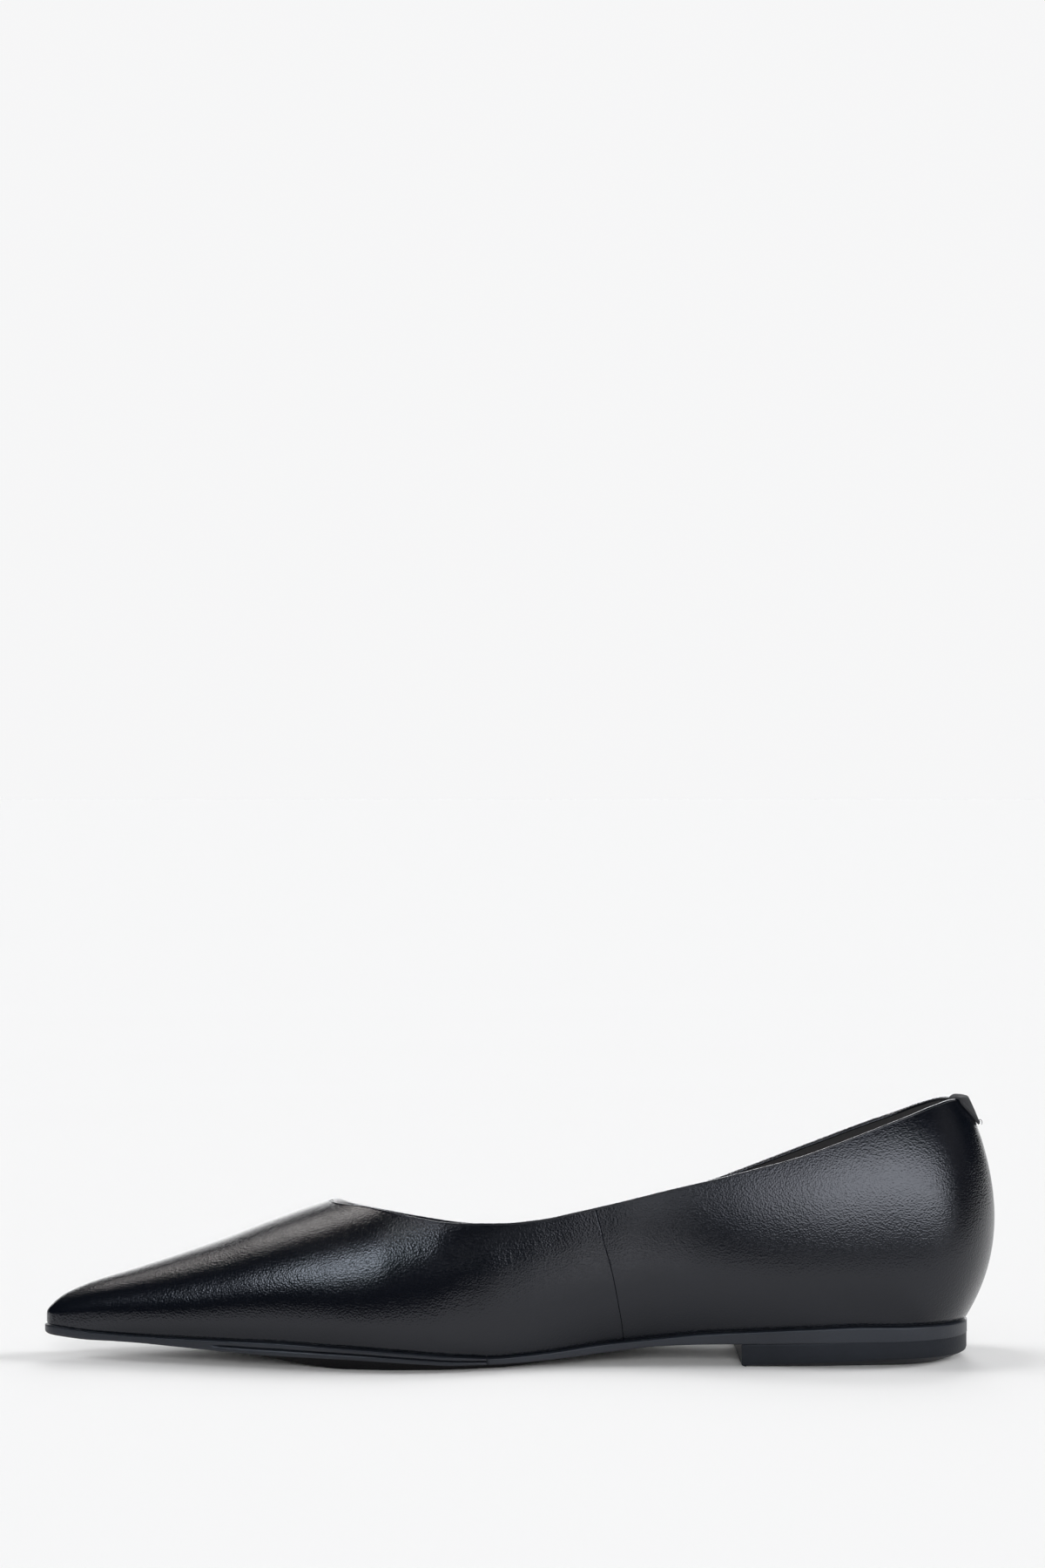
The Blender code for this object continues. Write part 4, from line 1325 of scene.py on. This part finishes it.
def fall_off(tree, axis, soft):
    """One in the middle of a card and nothing at its edge, eased over a soft share of it."""
    away = node(tree, "Math", {0: axis}, operation="ABSOLUTE").outputs["Value"]
    inputs = {"Value": away, "From Min": 1, "From Max": 1 - soft}
    return node(tree, "MapRange", inputs, interpolation_type="SMOOTHSTEP").outputs["Result"]


def product(tree, first, second):
    return node(tree, "Math", {0: first, 1: second}, operation="MULTIPLY").outputs["Value"]


def aimed(place, target):
    """Turn of a card or light that faces the target from its place."""
    return (Vector(target) - Vector(place)).to_track_quat("-Z", "Y").to_euler()


def glow_card(name, place, target, half_size, soft, strength, colour):
    """Softbox brightest in its middle, seen in the gloss only."""
    glow = bpy.data.materials.new(name)
    glow.use_nodes = True
    tree = glow.node_tree
    tree.nodes.remove(tree.nodes["Principled BSDF"])
    parts = node(tree, "SeparateXYZ", {"Vector": node(tree, "TexCoord", {}).outputs["Object"]})
    across = fall_off(tree, parts.outputs["X"], soft[0])
    along = fall_off(tree, parts.outputs["Y"], soft[1])
    bright = product(tree, product(tree, across, along), strength)
    lit = node(tree, "Emission", {"Color": (*colour, 1), "Strength": bright})
    clear = node(tree, "BsdfTransparent", {})
    both = node(tree, "AddShader", {0: lit.outputs["Emission"], 1: clear.outputs["BSDF"]})
    plug(tree, tree.nodes["Material Output"], {"Surface": both.outputs["Shader"]})
    mesh = bpy.data.meshes.new(name)
    mesh.from_pydata([(-1, -1, 0), (1, -1, 0), (1, 1, 0), (-1, 1, 0)], [], [(0, 1, 2, 3)])
    mesh.materials.append(glow)
    card = placed(name, mesh, place, aimed(place, target))
    card.scale = (*half_size, 1)
    card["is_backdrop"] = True
    only_reflected(card)


def area_light(name, place, target, size, power, colour):
    """Even softbox, seen in the gloss only."""
    light = bpy.data.lights.new(name, "AREA")
    light.shape = "RECTANGLE"
    light.size, light.size_y = size
    light.energy = power
    light.color = colour
    only_reflected(placed(name, light, place, aimed(place, target)))


def make_sky(name, turn, strength, spread, low_pieces):
    """Very wide, soft light that shows in no gloss; only the sole and heel shade the floor.

    The photograph's shadow ends close before the sole, as if the upper cast none.
    """
    light = bpy.data.lights.new(name, "SUN")
    light.energy = strength
    light.angle = math.radians(spread)
    made = placed(name, light, turn=[math.radians(part) for part in turn])
    made.visible_glossy = False
    made.light_linking.blocker_collection = low_pieces


def make_world():
    """Pale where the camera looks past the floor, dark in the gloss."""
    world = bpy.data.worlds.new("studio")
    bpy.context.scene.world = world
    world.use_nodes = True
    tree = world.node_tree
    dark = tree.nodes["Background"]
    plug(tree, dark, {"Color": WORLD_COLOUR})
    pale = node(tree, "Background", {"Color": PALE_COLOUR})
    path = node(tree, "LightPath", {})
    mixed = node(tree, "MixShader", {
        "Fac": path.outputs["Is Camera Ray"], 1: dark.outputs["Background"],
        2: pale.outputs["Background"]})
    plug(tree, tree.nodes["World Output"], {"Surface": mixed.outputs["Shader"]})


def make_studio():
    make_floor()
    low_pieces = bpy.data.collections.new("low_pieces")
    for name in LOW_PIECES:
        low_pieces.objects.link(bpy.data.objects[name])
    for sky in SKIES:
        make_sky(*sky, low_pieces)
    for light in LIGHTS:
        area_light(*light)
    for glow in GLOWS:
        glow_card(*glow)
    make_world()
    bpy.context.scene.view_settings.view_transform = "Standard"


def make_camera():
    data = bpy.data.cameras.new("camera")
    data.lens = CAMERA_LENS
    data.sensor_width = CAMERA_SENSOR
    data.clip_start = CAMERA_NEAR
    bpy.context.scene.camera = placed("camera", data, CAMERA_AT, (math.pi / 2, 0, 0))


def main():
    leather = surface("smooth_black_leather", (0.0012, 0.0018, 0.0032), (0.0026, 0.0034, 0.0056),
                      (0.18, 0.25), 1400.0, (0.60, 0.00010), wave=(55.0, 0.00010))
    lining = surface("dark_lining", (0.022, 0.021, 0.021), (0.038, 0.037, 0.037),
                     (0.6, 0.75), 2200.0, (0.3, 0.00008))
    sole = surface("black_sole_edge", (0.007, 0.008, 0.011), (0.013, 0.016, 0.021),
                   (0.36, 0.48), 1200.0, (0.3, 0.00010), specular=0.55)
    heel = surface("black_heel_block", (0.004, 0.005, 0.007), (0.009, 0.011, 0.015),
                   (0.46, 0.58), 1200.0, (0.3, 0.00010), specular=0.28)
    # Tread: matte rubber, darker and less glossy than the sole edge; the extra darkness is painted
    # shade for the shadow under the sole.
    tread = surface("matte_tread_painted_shade", (0.006, 0.006, 0.007), (0.012, 0.012, 0.013),
                    (0.75, 0.9), 900.0, (0.5, 0.00015), specular=0.10)
    cloth = surface("matte_tab", (0.012, 0.012, 0.013), (0.020, 0.020, 0.021),
                    (0.75, 0.9), 2600.0, (0.5, 0.00010))
    thread = surface("black_thread", (0.02, 0.02, 0.021), (0.05, 0.05, 0.052),
                     (0.6, 0.8), 6000.0, (0.4, 0.00004))
    ring = make_upper(leather, lining)
    make_topline(ring, leather)
    make_outsole(sole, tread)
    make_heel(heel)
    make_footbed(lining)
    make_tab(cloth, thread)
    make_studio()
    make_camera()
    bpy.context.view_layer.update()


def plain(value):
    """Nested tuples or vectors as lists of numbers."""
    if isinstance(value, (int, float)):
        return float(value)
    return [plain(part) for part in value]


main()
{"cad": plain(CAD_BOUNDS), "visual": plain(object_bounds())}
